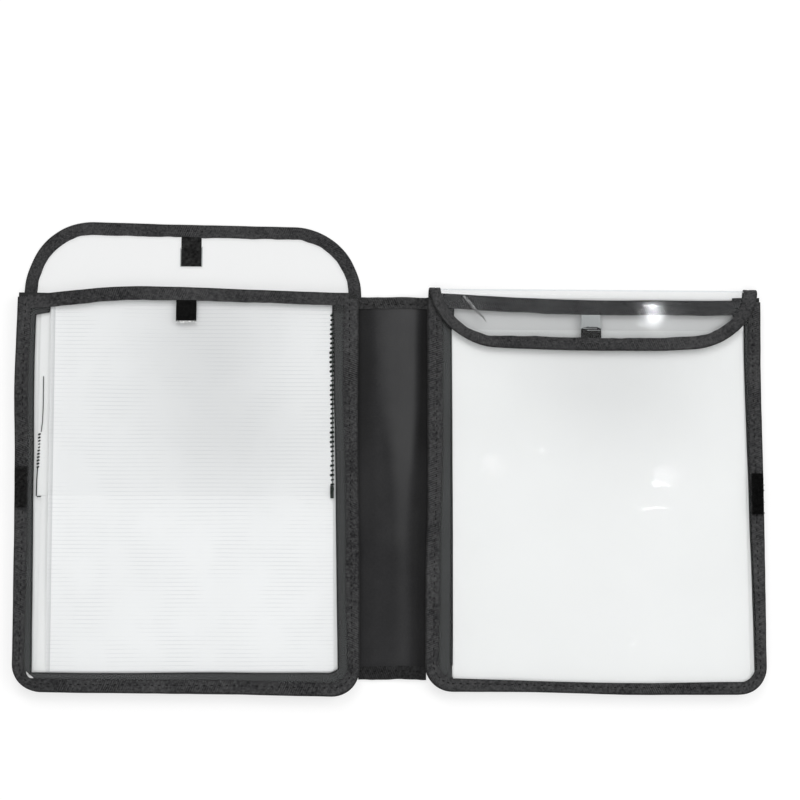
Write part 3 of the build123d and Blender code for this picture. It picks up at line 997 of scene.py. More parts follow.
def stitch_row(edge, width, height, seed, upward=1, first=4.0, share=None):
    """Thread along a seam: short stitches whose ends dive into the tape."""
    place, inward, length = edge
    drift = drift_along(length, seed, TAPE_DRIFT)
    share = np.ones(len(length)) if share is None else share
    middles = np.arange(first, length[-1] - first, STITCH_PITCH)
    radii = STITCH_R * STITCH_ROUND
    around = np.linspace(0, math.tau, 6, endpoint=False)
    points = []
    faces = []
    marks = [[], []]
    uneven = wander(middles, 3.3, seed + 5)
    for middle, odd in zip(middles, uneven):
        x, y = (np.interp(middle, length, place[:, k]) for k in (0, 1))
        nx, ny = (np.interp(middle, length, inward[:, k]) for k in (0, 1))
        seam = STITCH_SHARE * width * np.interp(middle, length, share)
        lean = STITCH_ODD * odd
        inset = seam + np.interp(middle, length, drift) + lean
        ax, ay = ny + lean * nx, -nx + lean * ny
        faces += tube_faces(len(STITCH_STEPS), len(around), len(points))
        for step, radius, down in zip(STITCH_STEPS, radii, STITCH_SINK):
            along = step * STITCH_L * (0.5 + 0.08 * odd)
            for angle in around:
                into = inset + radius * math.cos(angle)
                lift = height + upward * (down + radius * 0.75 * math.sin(angle))
                points.append((x + nx * into + ax * along, y + ny * into + ay * along, lift))
                marks[0].append(along)
                marks[1].append(angle * STITCH_R)
    return np.array(points), faces, marks


def strand(path, radius, around=4):
    """A fine strand along a few points."""
    rows = []
    path = np.array(path, float)
    ahead = np.gradient(path, axis=0)
    for at, way in zip(path, ahead):
        way = way / (np.linalg.norm(way) + 1e-9)
        first = np.cross(way, (0.31, 0.95, 0.05))
        first /= np.linalg.norm(first) + 1e-9
        second = np.cross(way, first)
        for angle in np.linspace(0, math.tau, around, endpoint=False):
            rows.append(at + radius * (math.cos(angle) * first + math.sin(angle) * second))
    points = np.array(rows)
    return points, tube_faces(len(path), around), (points[:, 1], points[:, 0])


def joined(*parts):
    """Several sets of points and faces as one."""
    points = []
    faces = []
    marks = [[], []]
    count = 0
    for part_points, part_faces, part_marks in parts:
        points.append(np.asarray(part_points, float))
        faces += [tuple(v + count for v in face) for face in part_faces]
        count += len(part_points)
        for kept, new in zip(marks, part_marks):
            kept.extend(np.ravel(new))
    return np.concatenate(points), faces, marks


def grid(columns, rows):
    """Two even grids of shares, across and along."""
    return np.meshgrid(np.linspace(0, 1, columns), np.linspace(0, 1, rows))


def stand_for(nodes):
    """Hides the solids that a piece stands for."""
    if nodes:
        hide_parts(*nodes)


def settle(piece, body, slot, *nodes):
    """Fixes a piece to its body."""
    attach(piece, body)
    stand_for(nodes)


def hinge(piece, bodies, start, end, slot, *nodes):
    """Bakes a piece's place into its mesh and hides the solids it stands for."""
    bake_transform(piece)
    stand_for(nodes)


# Films


def cover_sides(y, inset):
    """The cover's inner and outer side at a height, drawn in by an inset."""
    low = Y_BOTTOM + CORNER_R
    radius = CORNER_R - inset
    round_off = round_drop(radius, np.clip(low - y, 0, radius))
    return X_IN + inset + round_off, X_OUT - inset - round_off


def pocket_film(side, face):
    """One film of a pocket, sewn flat at its edges and slack between them."""
    inset = BACK_FILM_LOW[0] - X_IN
    across, up = grid(58, 70)
    low = Y_BOTTOM + inset
    y = low + (Y_TOP - low) * up**0.9
    x0, x1 = cover_sides(y, inset)
    x = x0 + (x1 - x0) * across
    if face == "front":
        rise = mouth_rise(side, x) - inset
        y = y + rise * smooth((y - (Y_TOP - MOUTH_FADE)) / MOUTH_FADE)
    free = smooth((np.minimum(np.minimum(x - X_IN, X_OUT - x), y - Y_BOTTOM) - TAPE_W) / SLACK_FROM)
    flat_from, flat_share = FLAT_BY_MOUTH[side]
    mouth = 1 - smooth((y - (Y_TOP - MOUTH_W - flat_from)) / (flat_from - 2))
    slack = drift_over(x, y, FILM_SEED[side], FILM_WAVES)
    z = FILM_Z[face] + FILM_SLACK[face] * free * (flat_share + (1 - flat_share) * mouth) * slack
    part = moved(slab(x, y, z - FILM_T / 2, z + FILM_T / 2), strayed, side)
    piece = make(f"{side}_{face}_film_clear", side, part, FILM)
    settle(piece, f"{side}_cover", "film", f"{side}_{face}_film")


def flap_film(side):
    """The flap's film and the strip that bends behind the mouth."""
    x0, x1 = flap_sides(side)
    radius = Y_TIP - Y_TOP - FLAP_STRAIGHT - FLAP_TIP_IN
    top = Y_TIP - FLAP_TIP_IN
    fold_rows = np.linspace(Y_TOP - FLAP_START, Y_FLAP, 22)
    far_rows = Y_FLAP + (top - Y_FLAP) * np.sin(np.linspace(0, math.pi / 2, 22))[1:]
    rows = np.concatenate([fold_rows, far_rows])
    across, y = np.meshgrid(np.linspace(0, 1, 60), rows)
    round_off = round_drop(radius, np.clip(y - (top - radius), 0, radius))
    left, right = x0 + FLAP_FILM_IN + round_off, x1 - FLAP_FILM_IN - round_off
    x = left + (right - left) * across
    edge = np.minimum(np.minimum(x - left, right - x), top - y)
    free = smooth((edge - TAPE_W) / 16) * smooth((y - Y_FLAP) / 8)
    slack = drift_over(x, y, FLAP_FILM_SEED, FLAP_WAVES)
    z = FLAP_FILM_Z + FLAP_SLACK[side] * free * slack
    return slab(x, y, z - FILM_T / 2, z + FILM_T / 2)


def flap_pieces(side):
    """Film, tape and seams of a flap, with the seam that holds its tab; a closed flap is shaped round its
    fold.
    """
    closed = side == "right"
    bodies = (f"{side}_cover", f"{side}_flap")
    if closed:
        start = (SIGN[side] * X_MID, Y_TOP, FLAP_FILM_Z)
        end = (SIGN[side] * X_MID, Y_TOP, 2 * FLAP_AXIS_Z - FLAP_FILM_Z)
    else:
        start = (SIGN[side] * X_MID, Y_TOP + FLAP_BEND_IN, 0)
        end = (SIGN[side] * X_MID, Y_TOP + FOLD_L - FLAP_BEND_IN, 0)

    def bent(name, part, finish, slot, *nodes):
        """Makes a piece in the flap's shape."""
        piece = make(f"{side}_flap_{name}", side, moved(part, shaped_flap, side), finish)
        hinge(piece, bodies, start, end, slot, *nodes)
        return piece

    edge = flap_edge(side)
    z0, z1 = OPEN_FLAP_LOW[2], OPEN_FLAP_HIGH[2]
    solids = f"{side}_flap_film", f"{side}_flap_fold"
    film = bent("film_clear", flap_film(side), FLAP_FILM[side], "film", *solids)
    share = eased(FLAP_TAPE[side], edge[0][:, 0])
    run = tape_run(edge, TAPE_W, z0, z1, FLAP_SEED, share=share, ruffle=1.7)
    solids = f"{side}_flap_binding", f"{side}_flap_fold_binding"
    tape = bent("binding_ribbed", run, TAPE, "tape", *solids)
    rows = joined(
        stitch_row(edge, TAPE_W, z1, FLAP_SEED, share=share),
        stitch_row(edge, TAPE_W, z0 + 0.1, FLAP_SEED, -1, share=share),
    )
    bent("seam", rows, GREY_THREAD, "tape")
    tab_low, tab_high = span("right_flap_tab")
    near = (edge[0][:, 1] > Y_TIP - 0.1) & (abs(edge[0][:, 0] - (tab_low[0] + tab_high[0]) / 2) < 10)
    held = [values[near] for values in edge]
    held[2] = held[2] - held[2][0]
    rows = joined(
        stitch_row(held, TAPE_W * TAB_SEAM, z1 + 0.05, TAB_SEAM_SEED, 1, 1.0),
        stitch_row(held, TAPE_W * TAB_SEAM, z0 + 0.05, TAB_SEAM_SEED, -1, 1.0),
    )
    bent("tab_seam", rows, THREAD, "tape")


def flap_crease(side):
    """A pinched crease in a closed flap's film, with a painted highlight along it."""
    middle = np.array(CREASE)
    sideways = beside(middle)
    spread = np.array(CREASE_W)[:, None] * np.linspace(-0.5, 0.5, 5)
    x = middle[:, :1] + sideways[:, :1] * spread
    y = middle[:, 1:] + sideways[:, 1:] * spread
    z = CLOSED_FILM_HIGH[2] + CREASE_LIFT + np.zeros_like(x) - 0.5 * abs(spread)
    piece = make(f"{side}_flap_crease", side, slab(x, y, z - CREASE_T, z), CREASE_HIGHLIGHT)
    settle(piece, f"{side}_flap", "film")


# Tape, gusset and sheets


def cover_tapes(side):
    """The tapes round a cover's two films, and their seams."""
    body = f"{side}_cover"
    seed = TAPE_SEED[side]
    faces_of = (
        ("front", FRONT_LOW[2], FRONT_HIGH[2], 1, seed, Y_TOP - TAPE_END),
        ("back", BACK_LOW[2], BACK_HIGH[2], -1, seed + 60, Y_TOP),
    )
    for face, z0, z1, upward, drift, top in faces_of:
        edge = cover_edge(top=top)
        share = tape_share(side, edge[0])
        tape = moved(tape_run(edge, TAPE_W, z0, z1, drift, share=share), strayed, side)
        piece = make(f"{side}_{face}_binding_ribbed", side, tape, TAPE)
        settle(piece, body, "tape", f"{side}_{face}_binding")
        height = z1 if upward > 0 else z0 + 0.1
        row = moved(stitch_row(edge, TAPE_W, height, drift, upward, share=share), strayed, side)
        settle(make(f"{side}_{face}_seam", side, row, THREAD), body, "tape")


def mouth_edge(side):
    """The mouth's edge, from its outer end to its inner end."""
    x = np.linspace(X_OUT - TAPE_W + MOUTH_TUCK, X_IN + TAPE_W - MOUTH_TUCK, 96)
    place = np.stack([x, Y_TOP + mouth_rise(side, x)], -1)
    return place, beside(place), lengths(place)


def mouth_tape(side):
    """The tape across the mouth, its ends pressed flat under the side tapes."""
    edge = mouth_edge(side)
    z0, z1 = MOUTH_LOW[2], MOUTH_HIGH[2]
    middle = (z0 + z1) / 2

    def pressed(points):
        """Flattens the tape's two ends."""
        points = np.array(points)
        end = np.minimum(points[:, 0] - X_IN, X_OUT - points[:, 0]) - TAPE_W
        points[:, 2] = middle + (points[:, 2] - middle) * (0.45 + 0.55 * smooth((end + 0.6) / 3))
        return strayed(points, side)

    seed = MOUTH_SEED[side]
    share = eased(MOUTH_TAPE[side], edge[0][:, 0])
    tape = moved(tape_run(edge, MOUTH_W, z0, z1, seed, True, share), pressed)
    piece = make(f"{side}_mouth_binding_ribbed", side, tape, TAPE)
    settle(piece, f"{side}_cover", "tape", f"{side}_mouth_binding")
    row = moved(stitch_row(edge, MOUTH_W, z1 + 0.02, seed, 1, 6.0, share), pressed)
    settle(make(f"{side}_mouth_seam", side, row, GREY_THREAD), f"{side}_cover", "tape")


def gusset_reach(side, place, length):
    """How far in the gusset's fold lies at each place along the edge."""
    inner_end, outer_end = GUSSET_END_REACH[side]
    x, y = place.T
    to_outer = smooth((x - X_MID) / 30 + 0.5)
    inner, outer = eased(GUSSET_INNER[side], y), eased(GUSSET_OUTER[side], y)
    bottom = eased(GUSSET_BOTTOM[side], x)
    side_reach = inner + (outer - inner) * to_outer
    away_x = np.maximum(np.maximum(X_IN + CORNER_R - x, x - (X_OUT - CORNER_R)), 0) / CORNER_R
    away_y = np.maximum(Y_BOTTOM + CORNER_R - y, 0) / CORNER_R
    to_side = np.maximum(CORNER_R - side_reach, 0.4) / np.maximum(away_x, 0.05)
    to_bottom = (CORNER_R - bottom) / np.maximum(away_y, 0.05)
    to_fold = np.minimum(to_side, to_bottom)
    if side == "left":
        to_pleat = CORNER_CUT / np.maximum(0.5 * away_x + 0.87 * away_y, 0.05)
        to_fold = np.where(x < X_MID, np.minimum(to_fold, to_pleat), to_fold)
    corner_reach = CORNER_R - to_fold
    reach = np.where(away_y <= 0, side_reach, np.where(away_x <= 0, bottom, corner_reach))
    end_reach = inner_end + (outer_end - inner_end) * to_outer
    near_mouth = 1 - smooth((Y_TOP - y - GUSSET_END) / 0.8)
    reach = reach + (end_reach - reach) * near_mouth
    corner = hump(y, Y_BOTTOM + 9, 8) * hump(x, X_IN + 9, 9)
    pleats = PLEAT_DEPTH * corner * np.sin(length * math.tau / PLEAT_PITCH)
    return reach + pleats + 0.3 * wander(length, 34, GUSSET_SEED[side])


def gusset(side):
    """The cloth between the two films: folded inwards, pleated at the corners and hemmed at the mouth."""
    place, inward, length = cover_edge(1.6)
    reach = gusset_reach(side, place, length)
    slit = SLIT_W * slit_share(side, place)
    share = tape_share(side, place)
    turn = np.degrees(np.arctan2(Y_BOTTOM + CORNER_R - place[:, 1], X_IN + CORNER_R - place[:, 0]))
    creased = hump(turn, CREASE_TURN, 3.0)
    low = (BACK_HIGH[2] - TAPE_T) - CLOTH_T / 2
    high = FRONT_LOW[2] + TAPE_T + CLOTH_T / 2
    rise = np.linspace(0, 1, 9)[1:]
    leg = np.sin(rise * math.pi / 2) ** 0.85
    lower_z = low + (high - low) * FOLD_LEVEL * rise
    upper_z = high - (high - low) * (1 - FOLD_LEVEL) * rise
    z_line = np.concatenate([np.full(4, low), lower_z, upper_z[-2::-1], np.full(4, high)])
    from_mouth = Y_TOP - place[:, 1]
    hemmed = 1 - smooth((from_mouth - GUSSET_END + 2) / 1.0)
    at_mouth, at_bottom = GUSSET_SHADE[side]
    shades = at_mouth + (at_bottom - at_mouth) * from_mouth / (Y_TOP - Y_BOTTOM)
    rows = []
    tone_and_painted_light = []
    across = []
    measures = zip(place, inward, reach, hemmed, shades, slit, share, creased)
    for at, into, far, hem, shade, gap, part, crease in measures:
        held = FLANGE * part
        held = held + (held[-1] + gap + LOOSE_FLANGE - held) * smooth(gap / 0.5)
        far = max(far, held[-1] + 0.25)
        lower_u = held[-1] + (far - held[-1]) * leg
        u_line = np.concatenate([held, lower_u, lower_u[-2::-1], held[::-1]])
        line = np.stack([u_line, z_line], -1)
        so_far = lengths(line)
        across.append(np.concatenate([so_far, so_far[::-1]]))
        outwards = beside(line, 1e-9) * (CLOTH_T / 2 * (1 + HEM_THICKER * hem))
        loop = np.concatenate([line + outwards, (line - outwards)[::-1]])
        x = at[0] + into[0] * loop[:, 0]
        y = at[1] + into[1] * loop[:, 0]
        rows.append(np.stack([x, y, loop[:, 1]], -1))
        # painted shade at the fold, along the tape's edge and in the corner crease; the hemmed ends are
        # darker too
        deep = GUSSET_DARK["fold"] * smooth((u_line - (far - shade)) / 0.7)
        by_tape = GUSSET_DARK["tape"] * (1 - smooth((u_line - held[-1]) / 1.0))
        by_end = max(GUSSET_DARK["hem"] * hem, GUSSET_DARK["crease"] * crease)
        dark = np.maximum(np.maximum(deep, by_tape), by_end)
        tone_and_painted_light.append(-np.concatenate([dark, dark[::-1]]))
    points = strayed(np.concatenate(rows), side)
    count = len(rows[0])
    marks = np.repeat(length, count), np.concatenate(across), np.concatenate(tone_and_painted_light)
    part = points, tube_faces(len(length), count), marks
    piece = make(f"{side}_gusset_woven", side, part, GUSSET_CLOTH)
    settle(piece, f"{side}_cover", "cloth", f"{side}_gusset")


def paper_stack(side):
    """The loose sheets in a pocket, a little out of line with each other."""
    room = SHEETS_HIGH[2] - SHEETS_LOW[2]
    sheets = SHEETS[side]
    middle = (SHEETS_LOW[0] + SHEETS_HIGH[0]) / 2
    for order, (width, length, shift, rise, colour, curl, lean) in enumerate(sheets):
        sides = np.linspace(0, 1, 44)
        ends = np.linspace(0, 1, 60)
        if curl:
            # more rows and columns where the sheet bends
            sides = np.sort(np.append(sides, 1 - np.array([1.0, 0.97, 0.5, 0.1]) * CURL_W / width))
            pad_edge = (PAD_LOW - SHEETS_LOW[1] - rise + np.array([-0.4, 0.4])) / length
            ends = np.sort(np.append(ends, pad_edge))
        across, up = np.meshgrid(sides, ends)
        x = middle + shift + (across - 0.5) * width
        y = SHEETS_LOW[1] + rise + up * length
        x = x + (up - 0.5) * lean
        base = SHEETS_LOW[2] + order * (room - SHEET_T) / (len(sheets) - 1)
        bow = SHEET_WAVE * ripple(x, y, 120, SHEET_SEED + order) * (1 - abs(2 * across - 1) ** 4)
        low = base + bow + SHEET_LIFT[side]
        # painted shade in broad patches and along the curled rim, and the ruled sheet's greyer tone on the
        # pad
        shade_and_tone = np.zeros_like(x)
        for grey_x, grey_y, grey_w, grey_h, strength in PAINTED_SHADE_PATCHES[side]:
            shade_and_tone = shade_and_tone + strength * hump(x, grey_x, grey_w) * hump(y, grey_y, grey_h)
        if curl:
            curled = smooth((width * across - width + CURL_REACH) / CURL_REACH)
            low = low + curl * curled * smooth((y - CURL_FROM) / CURL_GROW)
            low = low - PAD_DROP * smooth((PAD_LOW - y) / 3)
            shade_and_tone = shade_and_tone + PAD_TONE * (y > PAD_LOW)
            from_curl = width * (across - 1) / CURL_W + 1
            shade_and_tone = shade_and_tone + CURL_SHADE * (1 - 0.7 * from_curl) * (from_curl > 0.02)
        part = slab(x, y, low, low + SHEET_T, shade_and_tone)
        piece = make(f"{side}_sheet_{order + 1}", side, part, PAPER[colour])
        settle(piece, f"{side}_cover", "paper", *([f"{side}_sheets"] if order == 0 else []))


def coil(side, order, start, end, radius, wire, pitch):
    """Wire loops along the bound edge of a pad, bent a little out of line."""
    ways = np.array(end) - np.array(start)
    turns = np.radians(np.linspace(*COIL_TURN, 12))
    middle = SHEETS_HIGH[2] + SHEET_LIFT[side] - 0.2
    parts = []
    for share in np.arange(0, 1, pitch / np.linalg.norm(ways)):
        x, y = np.array(start) + share * ways
        odd = float(wander(y, 5.3, order + 2)[0])
        x += 0.35 * odd
        around = radius * (1 + 0.25 * odd)
        height = middle + around * np.sin(turns)
        path = np.stack([x + around * np.cos(turns), y + 0.4 * turns / math.pi, height], -1)
        points, faces, _ = strand(path, wire * (1 + 0.5 * odd), 6)
        parts.append((points, faces, (points[:, 2], points[:, 0])))
    piece = make(f"{side}_pad_coil_{order}", side, joined(*parts), WIRE)
    settle(piece, f"{side}_cover", "paper")


def pad_wire(side, order, path, radius):
    """A length of plain wire on the pad, at the end of a coil."""
    level = SHEETS_HIGH[2] + SHEET_LIFT[side] + radius
    spots = [(x, y, level) for x, y in path]
    piece = make(f"{side}_pad_wire_{order}", side, strand(spots, radius, 8), WIRE)
    settle(piece, f"{side}_cover", "paper")


# Hook and loop


def pad(low, high, base):
    """A stiff woven base with softened edges and a few waves."""
    across, up = grid(22, 26)
    x = low[0] + (high[0] - low[0]) * across
    y = low[1] + (high[1] - low[1]) * up
    edge = np.minimum(np.minimum(x - low[0], high[0] - x), np.minimum(y - low[1], high[1] - y))
    top = base * (0.55 + 0.45 * smooth(edge / 0.8)) + 0.05 * ripple(x, y, 3.0, 5)
    return slab(x, y, np.full(x.shape, low[2]), low[2] + top)


def fray(low, high, chance):
    """Loose pale ends along a tab's cut edge."""
    parts = []
    for x in np.arange(low[0] + 0.5, high[0] - 0.4, FRAY_PITCH):
        far = chance.uniform(0.0, FRAY_REACH)
        bend = chance.uniform(-FRAY_BEND, FRAY_BEND)
        top = low[2] + 0.5
        ends = ((0.0, 0.6, 0.25), (bend * 0.5, -far * 0.4, 0.0), (bend, -far, -0.3))
        spots = [(x + a, low[1] + b, top + c) for a, b, c in ends]
        parts.append(strand(spots, chance.uniform(*FRAY_R)))
    return joined(*parts)


def glue_skin(low, high, back, outward):
    """Dried glue on the back of a tab: a thin skin with a ragged edge and a few streaks."""
    parts = []
    reach = (high[1] - low[1]) * GLUE_SHARE
    free_end = high[1] if outward > 0 else low[1]
    inwards = -1 if outward > 0 else 1
    for first, last, start, stop in GLUE_PATCHES:
        across, along = grid(30, 12)
        x = low[0] + (high[0] - low[0]) * (first + (last - first) * across)
        ragged = drift_over(x, 0 * x, GLUE_SEED, ((0.1 * (stop - start), 2.2), (0.03, 6.0)))
        ragged = ragged + 0.3 * (stop - start) * abs(2 * across - 1) ** 5
        y = free_end + inwards * reach * (start + (stop - start) * along + ragged * along)
        z = np.full(x.shape, back)
        parts.append(slab(x, y, z - GLUE_T / 2, z + GLUE_T / 2))
    return joined(*parts)


def tapered(points, low, high):
    """Draws in the glued upper end of a tab."""
    up = (points[:, 1] - low[1]) / (high[1] - low[1])
    middle = (low[0] + high[0]) / 2
    width = 1 - TAB_TAPER * smooth((up - 0.3) / 0.35)
    return np.stack([middle + (points[:, 0] - middle) * width, points[:, 1], points[:, 2]], -1)


def pile(low, high, base, hooked, lay, chance):
    """Rows of hooks or loops on a base."""
    border, stray, thick = lay
    tall = high[2] - low[2] - base
    floor = low[2] + base - 0.1
    bend = HOOK_BEND if hooked else LOOP_BEND
    strands = []
    for x in np.arange(low[0] + border, high[0] - border + 0.2, PILE_PITCH):
        for y in np.arange(low[1] + border, high[1] - border + 0.2, PILE_PITCH):
            px = x + chance.uniform(-stray, stray)
            py = y + chance.uniform(-stray, stray)
            grow = tall * chance.uniform(*PILE_GROWTH)
            if hooked:
                way = 0, HOOK_REACH * chance.choice((-1, 1))
            else:
                turn = chance.uniform(0, math.pi)
                way = math.cos(turn), math.sin(turn)
            spots = [(px + way[0] * a, py + way[1] * a, floor + b * grow) for a, b in bend]
            strands.append(strand(spots, thick))
    return strands


def pile_tab(side, node, hooked, body, base, faces_down=False):
    """A hook or loop tab: a woven base with its rows of hooks or loops."""
    low, high = span(f"{side}_{node}")
    if side == "left":
        low[0], high[0] = -high[0], -low[0]
    shift, low_rise, high_rise = TAB_FIT.get((side, node), (0, 0, 0))
    low += (shift, low_rise, 0)
    high += (shift, high_rise, 0)
    chance = random.Random(node + side)
    rough = node == "edge_patch"
    strands = pile(low, high, base, hooked, ROUGH_PILE if rough else NEAT_PILE, chance)
    points, faces, marks = joined(pad(low, high, base), *strands)
    if faces_down:
        points = tapered(points, low, high)
        points[:, 2] = low[2] + high[2] - points[:, 2]
    if rough:
        points = strayed(points, side)
    if (side, node) == ("right", "mouth_tab"):
        middle = (low[0] + high[0]) / 2
        points[:, 0] = middle + (points[:, 0] - middle) * COVERED_TAB
    finish = HOOKS if hooked else LOOPS
    slot = "hook" if hooked else "loop"
    piece = make(f"{side}_{node}_pile", side, (points, faces, marks), finish)
    settle(piece, body, slot, f"{side}_{node}")
    if node == "mouth_tab":
        loose_ends = make(f"{side}_mouth_tab_fray", side, fray(low, high, chance), PAPER["white"])
        settle(loose_ends, body, slot)
    if node == "flap_tab":
        back = high[2] if faces_down else low[2]
        skin = glue_skin(low, high, back, 1 if faces_down else -1)
        if faces_down:
            skin = moved(skin, tapered, low, high)
        settle(make(f"{side}_flap_tab_glue", side, skin, PAPER["glue"]), body, slot)


# Spine


def spine_lift(x, y):
    """Soft folds that run up the spine, gone at the seams."""
    free = smooth((SPINE_HIGH[0] - np.abs(x)) / FOLD_FADE)
    high_up = smooth((y - Y_BOTTOM) / (Y_TOP - Y_BOTTOM))
    folds = np.zeros_like(x)
    for measures in SPINE_FOLDS:
        height, middle, width = (low + gain * high_up for low, gain in measures)
        folds += height * hump(x, middle, width)
    folds += 0.4 * ripple(x, y, 38, FOLDS_SEED) + 0.25 * ripple(x * 2, y, 14, FOLDS_SEED + 1)
    return free * np.clip(folds, *FOLD_RANGE)


def spine_painted_light_and_wear(x, y):
    """Painted highlight on the fold's crest, painted shade towards the seams, and uneven patches of wear."""
    left, right = eased(CREST_LEFT, y), eased(CREST_RIGHT, y)
    ramp = eased(CREST_RAMP, y)
    rise = smooth((x - left) / (2 * ramp) + 0.5)
    crest = eased(CREST_HIGHLIGHT, y) * rise * (1 - smooth((x - right) / 5 + 0.5))
    high_up = smooth((y - SHADE_FROM) / SHADE_GROW)
    at_right = (SHADE_RIGHT[0] + SHADE_RIGHT[1] * high_up) * smooth((x - right - 1) / 4)
    at_left = SHADE_LEFT * high_up * smooth((SHADE_LEFT_FROM - x) / 9)
    return np.clip(crest - at_right - at_left + drift_over(x, y, WEAR_SEED, WEAR_PATCHES), -1, 1)


def spine_sides(y):
    """The spine's left and right side, which follow the covers' sewn edges."""
    return eased(INNER_STRAY["left"], y) - SPINE_HALF, SPINE_HALF - eased(INNER_STRAY["right"], y)


def spine_hem(place, low, high):
    """One hem of the spine and its seam, laid along the cloth's end. Gives the pieces' names."""
    at_top = place == "top"
    width = (high[1] - low[1]) * (TOP_HEM_SHARE if at_top else 1.0)
    rise = 0.0 if at_top else SPINE_RISE
    ends = (SPINE_HALF, high[1]), (-SPINE_HALF, high[1])
    if not at_top:
        ends = (-SPINE_HALF, low[1]), (SPINE_HALF, low[1])
    edge = walk([ends], 1.2)

    def laid(points):
        """Fits a straight hem between the spine's sides and onto its folds."""
        x, y, z = np.array(points).T
        level = np.full(len(x), (low[1] + high[1]) / 2)
        left, right = spine_sides(level)
        x = left + (right - left) * (x / SPINE_HALF + 1) / 2
        z = z + spine_lift(x, level)
        y = y + rise + rise * drift_over(x, 0 * x, HEM_WAVE_SEED, HEM_WAVES)
        return np.stack([x, y, z], -1)

    tape = moved(tape_run(edge, width, low[2], high[2], HEM_SEED[place]), laid)
    hem = make(f"spine_{place}_hem", "right", tape, HEM_TAPE[place])
    solids = f"left_spine_{place}_hem", f"right_spine_{place}_hem"
    hinge(hem, SPINE_BODIES, *SPINE_BEND, "tape", *solids)
    row = moved(stitch_row(edge, width, high[2], HEM_SEED[place], 1, 2.0), laid)
    seam = make(f"spine_{place}_hem_seam", "right", row, THREAD)
    hinge(seam, SPINE_BODIES, *SPINE_BEND, "tape")
    return [hem.name, seam.name]


def spine():
    """The spine's cloth from seam to seam, with its two hems."""
    bottom = SPINE_LOW[1] + SPINE_RISE
    across, up = grid(49, 150)
    y = bottom + (SPINE_HIGH[1] - bottom) * up
    left, right = spine_sides(y)
    x = left + (right - left) * across
    z = (SPINE_LOW[2] + SPINE_HIGH[2]) / 2 + spine_lift(x, y)
    part = slab(x, y, z - CLOTH_T / 2, z + CLOTH_T / 2, spine_painted_light_and_wear(x, y))
    cloth = make("spine_cloth_woven", "right", part, SPINE_CLOTH)
    hinge(cloth, SPINE_BODIES, *SPINE_BEND, "cloth", "left_spine_cloth", "right_spine_cloth")
    hems = spine_hem("top", TOP_HEM_LOW, TOP_HEM_HIGH)
    hems += spine_hem("bottom", BOTTOM_HEM_LOW, BOTTOM_HEM_HIGH)


# Camera, light and floor


def camera():
    """The camera, above the folder and a little in front of it."""
    back = Vector((math.sin(CAMERA_LEAN), -math.cos(CAMERA_RISE), math.sin(CAMERA_RISE))).normalized()
    right = (Vector((1, 0, 0)) - back[0] * back).normalized()
    up = back.cross(right)
    turn = Matrix.Rotation(CAMERA_ROLL, 4, back)
    columns = Matrix((right, up, back)).transposed().to_4x4()
    lens = bpy.data.cameras.new("camera")
    lens.lens = LENS
    lens.sensor_width = SENSOR
    made = bpy.data.objects.new("camera", lens)
    place = (Vector(CAMERA_TARGET) + back * CAMERA_DISTANCE) * MM
    made.matrix_world = Matrix.Translation(place) @ turn @ columns
    bpy.context.collection.objects.link(made)
    bpy.context.scene.camera = made


def lamp(name, place, target, size, power):
    """A square soft lamp aimed at a point, in metres."""
    light = bpy.data.lights.new(name, "AREA")
    light.shape = "SQUARE"
    light.size = size
    light.energy = power
    made = bpy.data.objects.new(name, light)
    made.location = place
    made.rotation_euler = (Vector(target) - Vector(place)).to_track_quat("-Z", "Y").to_euler()
    bpy.context.collection.objects.link(made)


def seen_ray(tree):
    """One for rays that show the background: straight ones, mirrored ones and ones through clear things."""
    path = put(tree, "ShaderNodeLightPath").outputs
    either = calc(tree, "MAXIMUM", path["Is Camera Ray"], path["Is Glossy Ray"])
    return calc(tree, "MAXIMUM", either, path["Is Transmission Ray"])


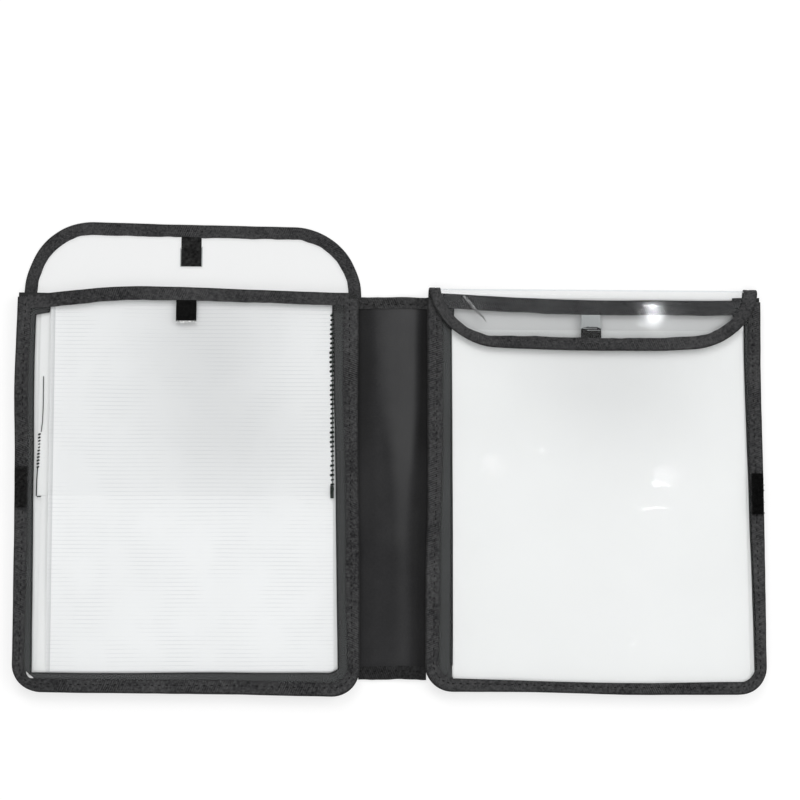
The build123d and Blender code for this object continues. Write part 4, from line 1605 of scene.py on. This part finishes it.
def studio():
    """Even white surroundings, with a few large lamps and some small ones."""
    world = bpy.data.worlds.new("studio")
    bpy.context.scene.world = world
    world.use_nodes = True
    tree = world.node_tree
    sky = tree.nodes["Background"]
    sky.inputs["Color"].default_value = (1, 1, 1, 1)
    tree.links.new(span_to(tree, seen_ray(tree), SKY, 1.0), sky.inputs["Strength"])
    for name, place, size, power in LAMPS:
        lamp(name, place, LAMP_TARGET, size, power)
    for order, (x, y, size, power) in enumerate(GLINTS):
        lamp(f"glint lamp {order + 1}", (x, y, GLINT_HEIGHT), GLINT_TARGET, size, power)


def pale_floor():
    """A pale floor that keeps the shadow."""
    mesh = bpy.data.meshes.new("floor")
    rim = FLOOR_HALF
    corners = [(x, y, FLOOR_LEVEL) for x, y in ((-rim, -rim), (rim, -rim), (rim, rim), (-rim, rim))]
    mesh.from_pydata(corners, [], [(0, 1, 2, 3)])
    floor = bpy.data.objects.new("floor", mesh)
    bpy.context.collection.objects.link(floor)
    tone = (FLOOR_TONE, FLOOR_TONE, FLOOR_TONE, 1)
    constants = {"Base Color": tone, "Roughness": 1.0, "Specular IOR Level": 0.0}
    finish, tree, shader = finish_tree("floor", constants)
    glow = put(tree, "ShaderNodeEmission", {"Strength": calc(tree, "MULTIPLY", seen_ray(tree), FLOOR_GLOW)})
    both = put(tree, "ShaderNodeAddShader", {0: shader.outputs["BSDF"], 1: glow.outputs["Emission"]})
    tree.links.new(both.outputs["Shader"], tree.nodes["Material Output"].inputs["Surface"])
    mesh.materials.append(finish)


camera()
studio()
pale_floor()
for side in ("left", "right"):
    cover_tapes(side)
    mouth_tape(side)
    gusset(side)
    pocket_film(side, "back")
    pocket_film(side, "front")
    paper_stack(side)
    flap_pieces(side)
    pile_tab(side, "mouth_tab", False, f"{side}_cover", 0.55)
    pile_tab(side, "flap_tab", True, f"{side}_flap", 0.5, faces_down=side == "right")
    pile_tab(side, "edge_patch", side == "left", f"{side}_cover", 1.2)
for order, measures in enumerate(COILS):
    coil("left", order + 1, *measures)
for order, measures in enumerate(WIRES):
    pad_wire("left", order + 1, *measures)
flap_crease("right")
spine()

bpy.context.scene.view_settings.view_transform = "Standard"
